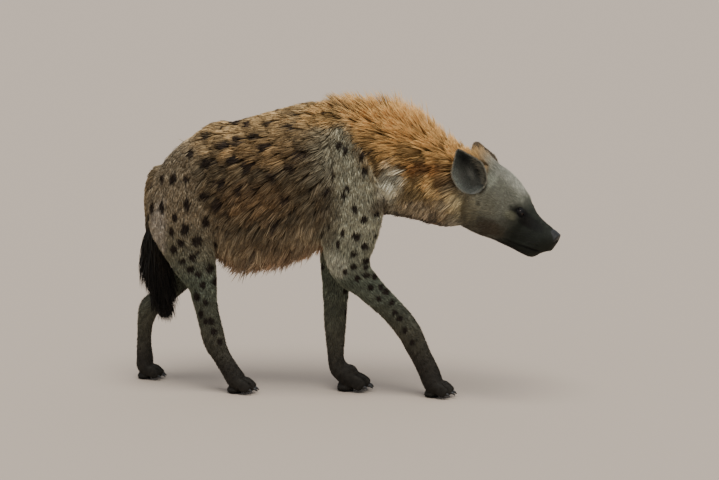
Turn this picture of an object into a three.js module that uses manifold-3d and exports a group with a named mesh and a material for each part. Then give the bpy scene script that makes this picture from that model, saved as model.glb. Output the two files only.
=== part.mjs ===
// A life-size spotted hyena in a slow walk, head low and turned a little to its right.
// Millimetres, +X forward, +Y to the animal's left, +Z up, the soles on z = 0.
// The trunk, neck and head are one set of forms carried along paths and parted with thin cuts. Each leg is a
// form of its own, cut clear of the trunk. The mane, the shaggy flanks, the belly fringe and the tail brush are
// flat tapered locks whose roots are sunk into the node that they grow from.
import * as THREE from "three";
import { mergeVertices } from "three/addons/utils/BufferGeometryUtils.js";
import Module from "manifold-3d";

const wasm = await Module();
wasm.setup();

const GAP = 0.3; // between touching nodes
const FORWARD = new THREE.Vector3(1, 0, 0);
const LEFT = new THREE.Vector3(0, 1, 0);
const UP = new THREE.Vector3(0, 0, 1);
const RIGHT_SIDE = -1;
const LEFT_SIDE = 1;

// Colours of the coat and the bare parts, from the photograph
const coat = {
  torso: 0x7d664a,
  mane: 0xa9743c,
  haunch: 0x857660,
  leg: 0x6f6a5c,
  foot: 0x4a443c,
  face: 0x68635a,
  ear: 0x4c4a48,
  brush: 0x1e1814,
};
const bare = { nose: 0x141212, eye: 0x1c120c };

// One seeded draw for the small differences between locks
let drawState = 20417;
function draw(low, high) {
  drawState = (drawState * 1664525 + 1013904223) % 4294967296;
  return low + ((high - low) * drawState) / 4294967296;
}

function mix(a, b, share) {
  return a + (b - a) * share;
}

function vec(x, y, z) {
  return new THREE.Vector3(x, y, z);
}

// Catmull-Rom through rows of numbers, at a place counted in rows
function between(rows, place) {
  const last = rows.length - 1;
  const i = Math.min(Math.max(Math.floor(place), 0), last - 1);
  const t = place - i;
  const row = (k) => rows[Math.min(Math.max(k, 0), last)];
  return rows[0].map((_, c) => {
    const [a, b, d, e] = [row(i - 1)[c], row(i)[c], row(i + 1)[c], row(i + 2)[c]];
    return 0.5 * (2 * b + (d - a) * t + (2 * a - 5 * b + 4 * d - e) * t * t + (3 * b - a - 3 * d + e) * t ** 3);
  });
}

// Closed triangles over rings of points, with a fan to a pole at each end
function closedOver(rings, startPole, endPole) {
  const sides = rings[0].length;
  const points = [...rings.flat(), startPole, endPole];
  const start = points.length - 2;
  const end = points.length - 1;
  const faces = [];
  for (let j = 0; j < sides; j++) {
    const next = (j + 1) % sides;
    faces.push(start, next, j);
    for (let i = 0; i < rings.length - 1; i++) {
      const a = i * sides + j;
      const b = i * sides + next;
      faces.push(a, b, b + sides, a, b + sides, a + sides);
    }
    const base = (rings.length - 1) * sides;
    faces.push(end, base + j, base + next);
  }
  const geometry = new THREE.BufferGeometry().setFromPoints(points);
  geometry.setIndex(faces);
  return geometry;
}

function solidOf(geometry) {
  const bareGeometry = geometry.clone();
  bareGeometry.deleteAttribute("normal");
  bareGeometry.deleteAttribute("uv");
  const merged = mergeVertices(bareGeometry, 1e-3);
  return new wasm.Manifold(
    new wasm.Mesh({
      numProp: 3,
      vertProperties: new Float32Array(merged.attributes.position.array),
      triVerts: new Uint32Array(merged.index.array),
    }),
  );
}

function joined(solids) {
  return wasm.Manifold.union(solids);
}

function largest(solid) {
  return solid.decompose().reduce((a, b) => (b.volume() > a.volume() ? b : a));
}

// A form carried along a path. A station is its centre x, y, z, its half-width to the side, its reach to the
// front or top and to the back or underside, and how square its section is on each of those sides (2 is round).
// The section stands across the path, or keeps the given axes. A dome closes an end by that length.
class Form {
  constructor({ stations, sides = 16, steps = 2, axes = null, domes = [0, 0], rounding = [30, 58] }) {
    this.rows = stations.map((row) => (row.length < 8 ? [...row, ...Array(8 - row.length).fill(2)] : row));
    Object.assign(this, { sides, steps, axes, domes, rounding });
  }

  frame(place) {
    if (this.axes) return this.axes;
    const step = 0.05;
    const last = this.rows.length - 1;
    const from = vec(...between(this.rows, Math.max(place - step, 0)).slice(0, 3));
    const to = vec(...between(this.rows, Math.min(place + step, last)).slice(0, 3));
    const ahead = to.sub(from).normalize();
    const up = ahead.clone().cross(LEFT).normalize();
    return { ahead, up, side: up.clone().cross(ahead) };
  }

  // The point of the surface at a place along the path and an angle from the side towards the top
  point(place, angle, grow = 0, shrink = 1, shift = 0) {
    const [x, y, z, width, above, below, squareAbove, squareBelow] = between(this.rows, place);
    const { ahead, side, up } = this.frame(place);
    const square = Math.sin(angle) >= 0 ? squareAbove : squareBelow;
    const reach = Math.sin(angle) >= 0 ? above : below;
    const bulge = (value) => Math.sign(value) * Math.abs(value) ** (2 / square);
    return vec(x, y, z)
      .addScaledVector(ahead, shift)
      .addScaledVector(side, bulge(Math.cos(angle)) * (width + grow) * shrink)
      .addScaledVector(up, bulge(Math.sin(angle)) * (reach + grow) * shrink);
  }

  // The outward normal and the two tangents there
  surface(place, angle) {
    const e = 0.02;
    const at = this.point(place, angle);
    const along = this.point(place + e, angle).sub(this.point(place - e, angle)).normalize();
    const around = this.point(place, angle + e).sub(this.point(place, angle - e)).normalize();
    return { at, along, around, out: around.clone().cross(along).normalize() };
  }

  solid(grow = 0) {
    const last = this.rows.length - 1;
    const count = last * this.steps;
    const angles = [...Array(this.sides).keys()].map((j) => (2 * Math.PI * j) / this.sides);
    const ring = (place, shrink = 1, shift = 0) => angles.map((a) => this.point(place, a, grow, shrink, shift));
    const rings = [...Array(count + 1).keys()].map((i) => ring(i / this.steps));
    const pole = (place, dome, way) =>
      vec(...between(this.rows, place).slice(0, 3)).addScaledVector(this.frame(place).ahead, way * (dome + grow));
    for (const degrees of this.rounding) {
      const turn = (degrees * Math.PI) / 180;
      if (this.domes[0]) rings.unshift(ring(0, Math.cos(turn), -Math.sin(turn) * (this.domes[0] + grow)));
      if (this.domes[1]) rings.push(ring(last, Math.cos(turn), Math.sin(turn) * (this.domes[1] + grow)));
    }
    return solidOf(closedOver(rings, pole(0, this.domes[0], -1), pole(last, this.domes[1], 1)));
  }
}

// Sections of a lock: share of its length, and of its width and thickness there
const lockProfiles = {
  flat: [
    [0.02, 0.8, 1],
    [0.52, 0.94, 0.9],
  ],
  standing: [
    [0.02, 0.8, 1],
    [0.42, 1, 1],
    [0.76, 0.62, 0.8],
  ],
};

// A flat lock of hair: rooted below the surface, it leaves along its lie, lifts off and bends back towards it.
// Its section is a flat lozenge that widens a little above the root and tapers to a point. The twist turns its
// flat side from facing out, as on the flanks, to facing sideways, as along the crest.
function lock({ at, out, lie, length, width, thick, lift, curl, sink, twist = 0 }, grow = 0) {
  const flatwise = lie.clone().cross(out).normalize();
  const centre = (share) =>
    at
      .clone()
      .addScaledVector(out, -sink * (1 - share) + length * (Math.sin(lift) * share - curl * share * share))
      .addScaledVector(lie, length * Math.cos(lift) * share);
  const profile = twist === 0 ? lockProfiles.flat : lockProfiles.standing;
  const rings = profile.map(([share, broadness, thickness]) => {
    const c = centre(share);
    const ahead = centre(share + 0.05).sub(centre(share - 0.05)).normalize();
    const broad = flatwise.clone().applyAxisAngle(ahead, twist);
    const thin = ahead.clone().cross(broad).normalize();
    const half = (width / 2) * broadness + grow;
    const depth = (thick / 2) * thickness + grow;
    const corners = [
      [half, 0],
      [0, depth],
      [-half, 0],
      [0, -depth],
    ];
    return corners.map(([w, d]) => c.clone().addScaledVector(broad, w).addScaledVector(thin, d));
  });
  return solidOf(closedOver(rings, centre(-0.08), centre(1 + grow / length)));
}

// Rows of locks over a form, on both sides of it. A row has the angle up from its side, the places along the
// form from and to, and its count. The lie is a direction laid into the surface, tilted a little by the draw.
function rowsOf(form, rows) {
  const specs = [];
  for (const row of rows) {
    const { up, from, to, count, lie, length, width, thick = 9, lift, curl = 0.12, sink = 4, twist = 0 } = row;
    const angle = (up * Math.PI) / 180;
    const angles = up === 90 ? [angle] : [angle, Math.PI - angle];
    for (const around of angles) {
      for (let i = 0; i < count; i++) {
        const place = mix(from, to, (i + draw(0.3, 0.7)) / count);
        const turn = around + (up === 90 ? draw(-0.06, 0.06) : draw(-0.05, 0.05));
        const { at, out } = form.surface(place, turn);
        const laid = vec(...lie).add(vec(draw(-0.12, 0.12), draw(-0.12, 0.12), draw(-0.12, 0.12)));
        laid.addScaledVector(out, -laid.dot(out)).normalize();
        const size = draw(0.88, 1.12);
        specs.push({
          at,
          out,
          lie: laid,
          length: length * size,
          width: width * draw(0.9, 1.1),
          thick,
          lift: ((lift + draw(-4, 4)) * Math.PI) / 180,
          curl,
          sink,
          twist: around > Math.PI / 2 ? -twist : twist,
        });
      }
    }
  }
  return specs;
}

function locksOf(specs, grow = 0) {
  return joined(specs.map((spec) => lock(spec, grow)));
}

// Turns a solid into the named mesh of its node
const hyena = new THREE.Group();
function addNode(name, solid, color, roughness = 0.85) {
  const { vertProperties, triVerts, numProp, numVert } = largest(solid).getMesh();
  const positions = new Float32Array(numVert * 3);
  for (let i = 0; i < numVert; i++) positions.set(vertProperties.subarray(i * numProp, i * numProp + 3), i * 3);
  const geometry = new THREE.BufferGeometry();
  geometry.setAttribute("position", new THREE.BufferAttribute(positions, 3));
  geometry.setIndex(new THREE.BufferAttribute(new Uint32Array(triVerts), 1));
  geometry.computeVertexNormals();
  const mesh = new THREE.Mesh(geometry, new THREE.MeshStandardMaterial({ color, roughness, metalness: 0 }));
  mesh.name = name;
  hyena.add(mesh);
}

// The part of a solid ahead of a plane, and the part behind it, with the gap between them
function parted(solid, normal, through) {
  const offset = through.dot(normal);
  const n = [normal.x, normal.y, normal.z];
  return {
    ahead: solid.trimByPlane(n, offset + GAP / 2),
    behind: solid.trimByPlane(n.map((v) => -v), -offset + GAP / 2),
  };
}

// Trunk, from the rump to the breast. Sections stand upright.
const bodyAxes = { ahead: FORWARD, side: LEFT, up: UP };
const trunk = new Form({
  axes: bodyAxes,
  sides: 20,
  steps: 2,
  domes: [18, 30],
  stations: [
    [-392, 0, 562, 62, 66, 90, 2.2, 2],
    [-368, 0, 568, 84, 98, 130, 2.2, 2],
    [-320, 0, 580, 96, 138, 160, 2.2, 2],
    [-250, 0, 590, 101, 172, 190, 2.1, 2],
    [-170, 0, 582, 116, 188, 208, 2, 2.1],
    [-90, 0, 586, 127, 206, 206, 2, 2.1],
    [-10, 0, 602, 129, 214, 200, 2, 2.1],
    [60, 0, 618, 122, 204, 184, 2, 2.2],
    [130, 0, 628, 110, 184, 176, 2, 2.2],
    [190, 0, 634, 96, 160, 158, 2, 2.2],
    [240, 0, 640, 74, 118, 122, 2, 2.2],
  ],
});

// Neck, thick and set low, bending a little to the right
const neck = new Form({
  sides: 20,
  steps: 2,
  stations: [
    [110, 0, 660, 80, 130, 130, 2, 2.2],
    [200, 0, 650, 92, 144, 134, 2, 2.2],
    [285, -1, 633, 87, 134, 122, 1.9, 2.2],
    [365, -6, 613, 82, 122, 114, 1.9, 2.2],
    [435, -14, 594, 76, 108, 112, 2, 2.2],
    [495, -22, 574, 68, 92, 90, 2, 2.2],
  ],
});

// Head: its own axes, pitched down and turned to the right
const headPitch = (32.6 * Math.PI) / 180;
const headTurn = (12 * Math.PI) / 180;
const headAt = vec(538, -28, 578);
const headAxes = {
  ahead: vec(
    Math.cos(headPitch) * Math.cos(headTurn),
    -Math.cos(headPitch) * Math.sin(headTurn),
    -Math.sin(headPitch),
  ),
  side: vec(Math.sin(headTurn), Math.cos(headTurn), 0),
};
headAxes.up = headAxes.ahead.clone().cross(headAxes.side);

// A point of the head by its distance ahead, to the left and up
function inHead(ahead, left, up) {
  return headAt
    .clone()
    .addScaledVector(headAxes.ahead, ahead)
    .addScaledVector(headAxes.side, left)
    .addScaledVector(headAxes.up, up);
}

// Sections of the head: distance ahead, height of the widest line, half-width, top, underside, squareness
const headSections = [
  [-78, -6, 66, 76, -98, 2, 2.2],
  [-40, -2, 74, 86, -106, 2, 2.3],
  [0, -6, 83, 90, -108, 2, 2.4],
  [40, -11, 84, 86, -102, 2, 2.4],
  [80, -14, 75, 71, -91, 2.2, 2.3],
  [112, -17, 61, 53, -86, 2.2, 2.3],
  [140, -20, 49, 41, -81, 2, 2.4],
  [168, -20, 43, 35, -77, 2, 2.5],
  [194, -12, 40, 33, -70, 2, 2.5],
  [211, -3, 36, 31, -46, 2.2, 2.3],
  [226, 0, 30, 27, -27, 2.2, 2.3],
];
const head = new Form({
  axes: headAxes,
  sides: 20,
  steps: 2,
  domes: [0, 7],
  stations: headSections.map(([ahead, middle, width, top, under, squareTop, squareUnder]) => [
    ...inHead(ahead, 0, middle).toArray(),
    width,
    top - middle,
    middle - under,
    squareTop,
    squareUnder,
  ]),
});

// Half-width of the head at a distance ahead and a height
function headHalfWidth(ahead, height) {
  const behind = headSections.findLastIndex((row) => row[0] <= ahead);
  const i = Math.min(Math.max(behind, 0), headSections.length - 2);
  const share = (ahead - headSections[i][0]) / (headSections[i + 1][0] - headSections[i][0]);
  const [, middle, width, top, under, squareTop, squareUnder] = between(headSections, i + share);
  const [reach, square] = height > middle ? [top - middle, squareTop] : [middle - under, squareUnder];
  return width * Math.max(0, 1 - (Math.abs(height - middle) / reach) ** square) ** (1 / square);
}

// A round cord of a few stations, each a point and a radius
function cord(points, sides = 6) {
  return new Form({ stations: points.map(([at, r]) => [...at.toArray(), r, r, r]), sides, steps: 1 }).solid();
}

// Mouth line: a groove from under the nose to the corner below the eye, with the upper lip rounded above it.
// Its front points are ahead, to the side and up; its side points are ahead and up, on the skin.
const mouthFront = [
  [234, 2, -25],
  [224, 26, -28],
];
const mouthSide = [
  [206, -34],
  [178, -43],
  [146, -52],
  [112, -57],
];
const groove = { rise: 0, proud: 0.8, radius: 2.4 };
const lip = { rise: 6, proud: -1.5, radius: 4.5 };
function alongMouth(side, { rise, proud, radius }) {
  const front = mouthFront.map(([ahead, out, height]) => inHead(ahead, side * out, height + rise));
  const flank = mouthSide.map(([ahead, height]) => {
    const out = headHalfWidth(ahead, height + rise) + proud;
    return inHead(ahead, side * out, height + rise);
  });
  return cord([...front, ...flank].map((at) => [at, radius]), 4);
}

// Nose pad, a blunt plug at the tip of the muzzle with a comma-shaped nostril on each side
const noseFrom = 204;
const nosePad = new Form({
  axes: headAxes,
  sides: 16,
  steps: 1,
  domes: [0, 6],
  stations: [
    [...inHead(194, 0, 11).toArray(), 25, 22, 17, 2.3, 2.2],
    [...inHead(211, 0, 10).toArray(), 27, 24, 19, 2.3, 2.2],
    [...inHead(226, 0, 8).toArray(), 26, 22, 18, 2.4, 2.2],
  ],
});
const nostrilBore = [
  [241, 10, 10, 5],
  [224, 11, 9, 4.2],
  [213, 12, 8, 2],
];
const nostrilSlit = [
  [235, 9, 8, 3.4],
  [230, 20, 2, 3],
  [220, 32, -1, 2],
];
function nostril(side) {
  const cut = (rows) => cord(rows.map(([ahead, out, height, r]) => [inHead(ahead, side * out, height), r]), 5);
  return cut(nostrilBore).add(cut(nostrilSlit));
}

// Eyes: a ball set in its socket, ringed by the lids
const eye = { ahead: 108, out: 40, height: 29, radius: 13 };
const lid = { radius: 12.6, thick: 4, slant: 13, long: 1.3, tall: 0.86, proud: 7.5, facing: [0.34, 0.86, 0.32] };
function eyeCentre(side) {
  return inHead(eye.ahead, side * eye.out, eye.height);
}
function eyeBall(side, grow = 0) {
  const at = eyeCentre(side);
  const ball = new THREE.SphereGeometry(eye.radius + grow, 12, 8).translate(at.x, at.y, at.z);
  return solidOf(ball);
}
function lids(side) {
  const [ahead, outward, up] = lid.facing;
  const out = inHead(ahead, side * outward, up).sub(headAt).normalize();
  const slant = (lid.slant * Math.PI) / 180;
  const along = headAxes.ahead.clone().multiplyScalar(Math.cos(slant)).addScaledVector(headAxes.up, Math.sin(slant));
  along.addScaledVector(out, -along.dot(out)).normalize();
  const at = eyeCentre(side).addScaledVector(out, lid.proud);
  const ring = new THREE.TorusGeometry(lid.radius, lid.thick, 4, 12).scale(lid.long, lid.tall, 1);
  const place = new THREE.Matrix4().makeBasis(along, out.clone().cross(along), out).setPosition(at);
  return solidOf(ring.applyMatrix4(place));
}

// Ears: a rounded cup with its root sunk in the head, its opening facing out and a little forward
const earRoot = [-54, 60, 16];
const earTip = [-134, 98, 76];
const earFacing = [0.42, 0.9, -0.1];
function ear(side, grow = 0) {
  const [root, tip] = [earRoot, earTip].map(([ahead, out, height]) => inHead(ahead, side * out, height));
  const axis = tip.clone().sub(root).normalize();
  const facing = inHead(earFacing[0], side * earFacing[1], earFacing[2]).sub(headAt);
  facing.addScaledVector(axis, -facing.dot(axis)).normalize();
  const across = facing.clone().cross(axis);
  const rings = [0, 0.2, 0.4, 0.6, 0.78, 0.91, 0.98].map((s) => {
    const wide = s > 0.4 ? 42 * Math.sqrt(1 - ((s - 0.4) / 0.6) ** 2) : 35 + 17.5 * s;
    const back = 30 * (1 - s) + 5;
    const cup = Math.min(1, s / 0.26) ** 2;
    const front = mix(8, 7 - back, cup);
    const centre = root.clone().lerp(tip, s).addScaledVector(facing, 6 * s * s);
    return [...Array(14).keys()].map((j) => {
      const t = ((j % 7) / 6) * Math.PI;
      const inner = j < 7;
      const u = Math.cos(t) * (inner ? wide - 3.5 : -wide - grow);
      const v = Math.sin(t) * (inner ? front + grow : -back - grow);
      return centre.clone().addScaledVector(across, u).addScaledVector(facing, v);
    });
  });
  return solidOf(closedOver(rings, root.clone(), tip.clone().addScaledVector(facing, 6)));
}

// Tail: a short-haired root, then the core of the brush
const tailPath = new Form({
  sides: 10,
  steps: 1,
  domes: [0, 12],
  stations: [
    [-372, 0, 628, 22, 22, 22],
    [-404, 0, 618, 24, 24, 24],
    [-425, 0, 588, 24, 25, 22],
    [-434, 0, 540, 22, 24, 20],
    [-434, 0, 490, 20, 22, 19],
    [-430, 0, 440, 21, 26, 22],
    [-424, -2, 390, 22, 30, 24],
    [-414, -4, 335, 19, 27, 22],
    [-404, -5, 285, 14, 20, 16],
    [-398, -6, 245, 8, 11, 10],
  ],
});

// Legs. Stations run down from the shoulder blade or the hip; the reaches are to the front and the back.
const legs = {
  fore_right: {
    stations: [
      [120, -60, 772, 24, 38, 38],
      [140, -74, 700, 38, 64, 60],
      [158, -78, 620, 44, 82, 76],
      [164, -76, 540, 46, 84, 82],
      [156, -72, 475, 44, 78, 80],
      [148, -68, 415, 40, 66, 68],
      [162, -62, 364, 35, 50, 60],
      [197, -56, 322, 30, 38, 42],
      [243, -50, 273, 28, 34, 35],
      [284, -44, 231, 27, 33, 34],
      [316, -39, 189, 27, 32, 34],
      [335, -36, 151, 26, 30, 32],
      [352, -33, 114, 25, 28, 29],
      [372, -31, 74, 28, 28, 30],
    ],
    elbow: 6.6,
    wrist: 12,
    foot: { heel: [354, -30], length: 90, width: 80, turn: -4 },
  },
  fore_left: {
    stations: [
      [100, 60, 772, 24, 38, 38],
      [118, 74, 700, 38, 64, 60],
      [135, 76, 620, 44, 82, 76],
      [140, 72, 540, 46, 84, 82],
      [128, 64, 475, 42, 76, 74],
      [108, 55, 415, 37, 60, 60],
      [98, 46, 355, 33, 48, 50],
      [96, 37, 300, 30, 40, 40],
      [96, 29, 250, 28, 36, 37],
      [96, 22, 205, 27, 33, 34],
      [97, 17, 160, 26, 30, 31],
      [98, 13, 128, 25, 27, 28],
      [102, 9, 98, 24, 25, 26],
      [114, 6, 64, 27, 26, 27],
    ],
    elbow: 6.2,
    wrist: 12,
    foot: { heel: [96, 5], length: 104, width: 80, turn: 3 },
  },
  hind_right: {
    stations: [
      [-320, -46, 690, 32, 60, 56],
      [-328, -60, 622, 44, 86, 84],
      [-330, -66, 550, 48, 98, 102],
      [-324, -70, 480, 47, 95, 98],
      [-306, -70, 412, 42, 78, 78],
      [-286, -70, 355, 36, 60, 60],
      [-270, -70, 310, 31, 45, 43],
      [-262, -70, 265, 27, 36, 38],
      [-252, -70, 215, 24, 34, 35],
      [-241, -70, 172, 24, 34, 37],
      [-232, -70, 138, 23, 32, 35],
      [-216, -70, 106, 22, 27, 28],
      [-196, -70, 74, 24, 25, 27],
    ],
    elbow: 5.4,
    wrist: 11.2,
    foot: { heel: [-206, -70], length: 90, width: 70, turn: -2 },
  },
  hind_left: {
    stations: [
      [-335, 46, 690, 32, 60, 56],
      [-343, 60, 622, 44, 86, 80],
      [-348, 66, 550, 48, 98, 86],
      [-344, 70, 480, 47, 96, 84],
      [-332, 70, 415, 42, 76, 72],
      [-326, 70, 365, 37, 57, 57],
      [-342, 71, 320, 32, 41, 44],
      [-375, 72, 278, 28, 33, 36],
      [-410, 73, 242, 25, 29, 31],
      [-440, 74, 212, 24, 28, 38],
      [-454, 74, 178, 23, 25, 29],
      [-459, 74, 140, 21, 22, 23],
      [-460, 74, 102, 21, 22, 23],
      [-458, 74, 66, 24, 24, 25],
    ],
    elbow: 5.4,
    wrist: 12.2,
    foot: { heel: [-485, 74], length: 82, width: 68, turn: 2 },
  },
};

// A station of a foot, as shares of its length ahead and up and of its width to the left
function footRow({ heel, length, width, turn }, ahead, left, up, w, front, back) {
  const at = vec(ahead * length, left * width, up * length).applyAxisAngle(UP, (turn * Math.PI) / 180);
  return [at.x + heel[0], at.y + heel[1], at.z, w * width, front * length, back * length];
}
const legForms = Object.fromEntries(
  Object.entries(legs).map(([name, { stations, foot }]) => {
    const core = [footRow(foot, 0.36, 0, 0.48, 0.4, 0.28, 0.34), footRow(foot, 0.54, 0, 0.33, 0.45, 0.21, 0.3)];
    const shape = { stations: [...stations, ...core], domes: [24, 0.1 * foot.length], rounding: [45] };
    return [name, new Form({ ...shape, sides: 12, steps: 1 })];
  }),
);

// What a foot's core carries: a heel pad, four arched toes and their blunt claws
function pawPieces(foot) {
  const { length, width } = foot;
  const [padX, padY, padZ] = footRow(foot, 0.31, 0, 0.1, 0, 0, 0);
  const pad = new THREE.SphereGeometry(1, 8, 4).rotateX(Math.PI / 2);
  pad.scale(0.22 * length, 0.36 * width, 0.15 * length).translate(padX, padY, padZ);
  const pieces = [solidOf(pad)];
  for (const across of [-0.37, -0.125, 0.125, 0.37]) {
    const reach = Math.abs(across) > 0.2 ? 0.88 : 1;
    const toe = [
      footRow(foot, 0.5 * reach, across * 0.8, 0.34, 0.1, 0.14, 0.14),
      footRow(foot, 0.7 * reach, across, 0.31, 0.122, 0.17, 0.22),
      footRow(foot, 0.89 * reach, across * 1.05, 0.17, 0.114, 0.15, 0.19),
    ];
    const claw = [
      footRow(foot, 0.86 * reach, across * 1.06, 0.17, 0.045, 0.05, 0.05),
      footRow(foot, 1.0 * reach, across * 1.07, 0.12, 0.034, 0.035, 0.035),
    ];
    const toeShape = { stations: toe, sides: 5, steps: 1, domes: [0, 0.06 * length], rounding: [] };
    const clawShape = { stations: claw, sides: 4, steps: 1, domes: [0, 0.08 * length], rounding: [] };
    pieces.push(new Form(toeShape).solid(), new Form(clawShape).solid());
  }
  return pieces;
}

// Long hair of the trunk: crest of the withers, back, flanks and belly fringe
const back = [-1, 0, 0];
const flankLie = [-0.55, 0, -0.84];
const trunkLocks = rowsOf(trunk, [
  { up: 90, from: 7.5, to: 9.5, count: 4, lie: back, length: 74, width: 46, lift: 27, curl: 0.22, twist: 1.4 },
  { up: 68, from: 7.4, to: 10.1, count: 3, lie: [-1, 0, -0.1], length: 84, width: 60, lift: 24, curl: 0.2, twist: 0.7 },
  { up: 44, from: 7.4, to: 10.1, count: 2, lie: [-1, 0, -0.3], length: 104, width: 78, lift: 20 },
  { up: 90, from: 1.5, to: 7.4, count: 5, lie: back, length: 104, width: 66, lift: 10 },
  { up: 65, from: 1.5, to: 7.4, count: 5, lie: [-1, 0, -0.35], length: 118, width: 74, lift: 12 },
  { up: 40, from: 2.5, to: 7.4, count: 4, lie: [-0.8, 0, -0.6], length: 120, width: 78, lift: 11 },
  { up: 16, from: 3.1, to: 7.4, count: 4, lie: flankLie, length: 118, width: 74, lift: 10 },
  { up: -8, from: 3.3, to: 7.2, count: 4, lie: flankLie, length: 116, width: 74, lift: 10 },
  { up: -32, from: 3.4, to: 7.2, count: 4, lie: flankLie, length: 106, width: 70, lift: 14 },
  { up: -54, from: 3.5, to: 7.2, count: 4, lie: [-0.5, 0, -0.86], length: 86, width: 64, lift: 24, curl: 0.08 },
  { up: -74, from: 3.6, to: 6.9, count: 4, lie: [-0.7, 0, -0.7], length: 76, width: 54, lift: 38, curl: 0.06 },
]);

// Mane of the neck, standing along its crest and lying back down its sides
const neckLocks = rowsOf(neck, [
  { up: 90, from: 1.18, to: 3.3, count: 5, lie: back, length: 100, width: 50, lift: 52, curl: 0.24, twist: 1.4 },
  { up: 90, from: 3.3, to: 4.15, count: 2, lie: back, length: 74, width: 46, lift: 44, curl: 0.24, twist: 1.4 },
  { up: 68, from: 1.24, to: 4.15, count: 5, lie: back, length: 92, width: 56, lift: 34, curl: 0.2, twist: 0.8 },
  { up: 44, from: 1.4, to: 4.1, count: 4, lie: [-1, 0, -0.3], length: 96, width: 64, lift: 23 },
  { up: 18, from: 1.55, to: 4.1, count: 3, lie: [-0.9, 0, -0.5], length: 98, width: 76, lift: 18 },
]);

// Crown, between the ears
const crownLie = [-0.82, 0.17, 0.54];
const crownLocks = rowsOf(head, [
  { up: 90, from: 0.1, to: 1.7, count: 3, lie: crownLie, length: 66, width: 44, lift: 20, curl: 0.16 },
  { up: 64, from: 0.2, to: 1.2, count: 1, lie: crownLie, length: 60, width: 44, lift: 20, curl: 0.16 },
]);

// Brush of the tail, hanging down and out from its core
const brushLocks = [];
const brushPlan = { rows: 4, round: 3, from: 4.9, to: 8.5, longest: 150, shortest: 84 };
for (let i = 0; i < brushPlan.rows; i++) {
  for (let j = 0; j < brushPlan.round; j++) {
    const place = mix(brushPlan.from, brushPlan.to, (i + draw(0.3, 0.7)) / brushPlan.rows);
    const around = ((j + (i % 2) / 2 + draw(-0.1, 0.1)) / brushPlan.round) * 2 * Math.PI;
    const { at, along, out } = tailPath.surface(place, around);
    const length = mix(brushPlan.longest, brushPlan.shortest, i / (brushPlan.rows - 1)) * draw(0.9, 1.08);
    brushLocks.push({ at, out, lie: along, length, width: 54, thick: 10, lift: 0.3, curl: 0.14, sink: 4 });
  }
}

// The trunk, neck and head are joined, then parted at the breast and behind the ears
const sides = [RIGHT_SIDE, LEFT_SIDE];
const whole = joined([trunk.solid(), neck.solid(), head.solid()]);
const neckRootTilt = 0.2;
const napeTilt = -0.16;
const napeAhead = -92;
const neckRoot = { normal: vec(Math.cos(neckRootTilt), 0, Math.sin(neckRootTilt)), through: vec(240, 0, 640) };
const nape = {
  normal: headAxes.ahead.clone().applyAxisAngle(headAxes.side, napeTilt),
  through: inHead(napeAhead, 0, 0),
};
const breast = parted(whole, neckRoot.normal, neckRoot.through);
const ears = joined(sides.map((side) => ear(side, GAP)));
const throat = parted(breast.ahead, nape.normal, nape.through);

// Head: lids, lips and mouth line, sockets, and the room for the nose pad
const nosePlane = { normal: headAxes.ahead, through: inHead(noseFrom, 0, 0) };
const noseSolid = parted(nosePad.solid(), nosePlane.normal, nosePlane.through).ahead;
const noseRoom = nosePad.solid(GAP).trimByPlane(headAxes.ahead.toArray(), nosePlane.through.dot(headAxes.ahead));
const crown = locksOf(crownLocks).subtract(ears);
const faceForms = sides.flatMap((side) => [lids(side), alongMouth(side, lip)]);
let face = joined([throat.ahead, crown, ...faceForms]);
const hollows = sides.flatMap((side) => [eyeBall(side, GAP), alongMouth(side, groove)]);
face = face.subtract(joined([noseRoom, ...hollows]));

// Legs, each cut clear of the trunk, and parted at the elbow or knee and at the wrist or hock
const bodyRoom = joined([trunk.solid(GAP), neck.solid(GAP)]);
const legRoom = joined(Object.values(legForms).map((form) => form.solid(GAP)));
for (const [name, { elbow, wrist, foot }] of Object.entries(legs)) {
  const form = legForms[name];
  const limb = joined([form.solid(), ...pawPieces(foot)]).trimByPlane([0, 0, 1], 0).subtract(bodyRoom);
  const cutAt = (place) => [form.frame(place).ahead, vec(...between(form.rows, place).slice(0, 3))];
  const top = parted(largest(limb), ...cutAt(elbow));
  const low = parted(top.ahead, ...cutAt(wrist));
  addNode(`${name}_upper`, top.behind, coat.haunch);
  addNode(`${name}_lower`, low.behind, coat.leg);
  addNode(`${name}_foot`, low.ahead, coat.foot);
}

// Tail: its root meets the rump, and its brush is parted from it
const tailRootRoom = tailPath.solid(GAP);
const brushTop = 476;
const tailCore = parted(tailPath.solid().subtract(bodyRoom), UP.clone().negate(), vec(0, 0, brushTop));
const brush = locksOf(brushLocks).trimByPlane([0, 0, -1], GAP / 2 - brushTop).subtract(legRoom);
addNode("tail_root", tailCore.behind, coat.haunch);
addNode("tail_brush", tailCore.ahead.subtract(legRoom).add(brush), coat.brush);

// Trunk and neck with their locks, each cut clear of what lies over it
const trunkCoat = locksOf(trunkLocks).subtract(joined([legRoom, tailRootRoom, locksOf(neckLocks, GAP)]));
const breastPlane = [-neckRoot.normal.x, -neckRoot.normal.y, -neckRoot.normal.z];
const breastOffset = GAP / 2 - neckRoot.through.dot(neckRoot.normal);
addNode("torso", breast.behind.add(trunkCoat.trimByPlane(breastPlane, breastOffset)), coat.torso);
const neckCoat = locksOf(neckLocks).subtract(joined([ears, locksOf(crownLocks, GAP), legRoom]));
addNode("neck", throat.behind.add(neckCoat.subtract(breast.behind).subtract(throat.ahead)), coat.mane);
addNode("head", face, coat.face);
addNode("nose", noseSolid.subtract(joined(sides.map(nostril))), bare.nose, 0.4);
const headRoom = joined([head.solid(GAP), neck.solid(GAP)]);
for (const side of sides) {
  const hand = side === RIGHT_SIDE ? "right" : "left";
  addNode(`ear_${hand}`, ear(side).subtract(headRoom), coat.ear);
  addNode(`eye_${hand}`, eyeBall(side), bare.eye, 0.15);
}

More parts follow.
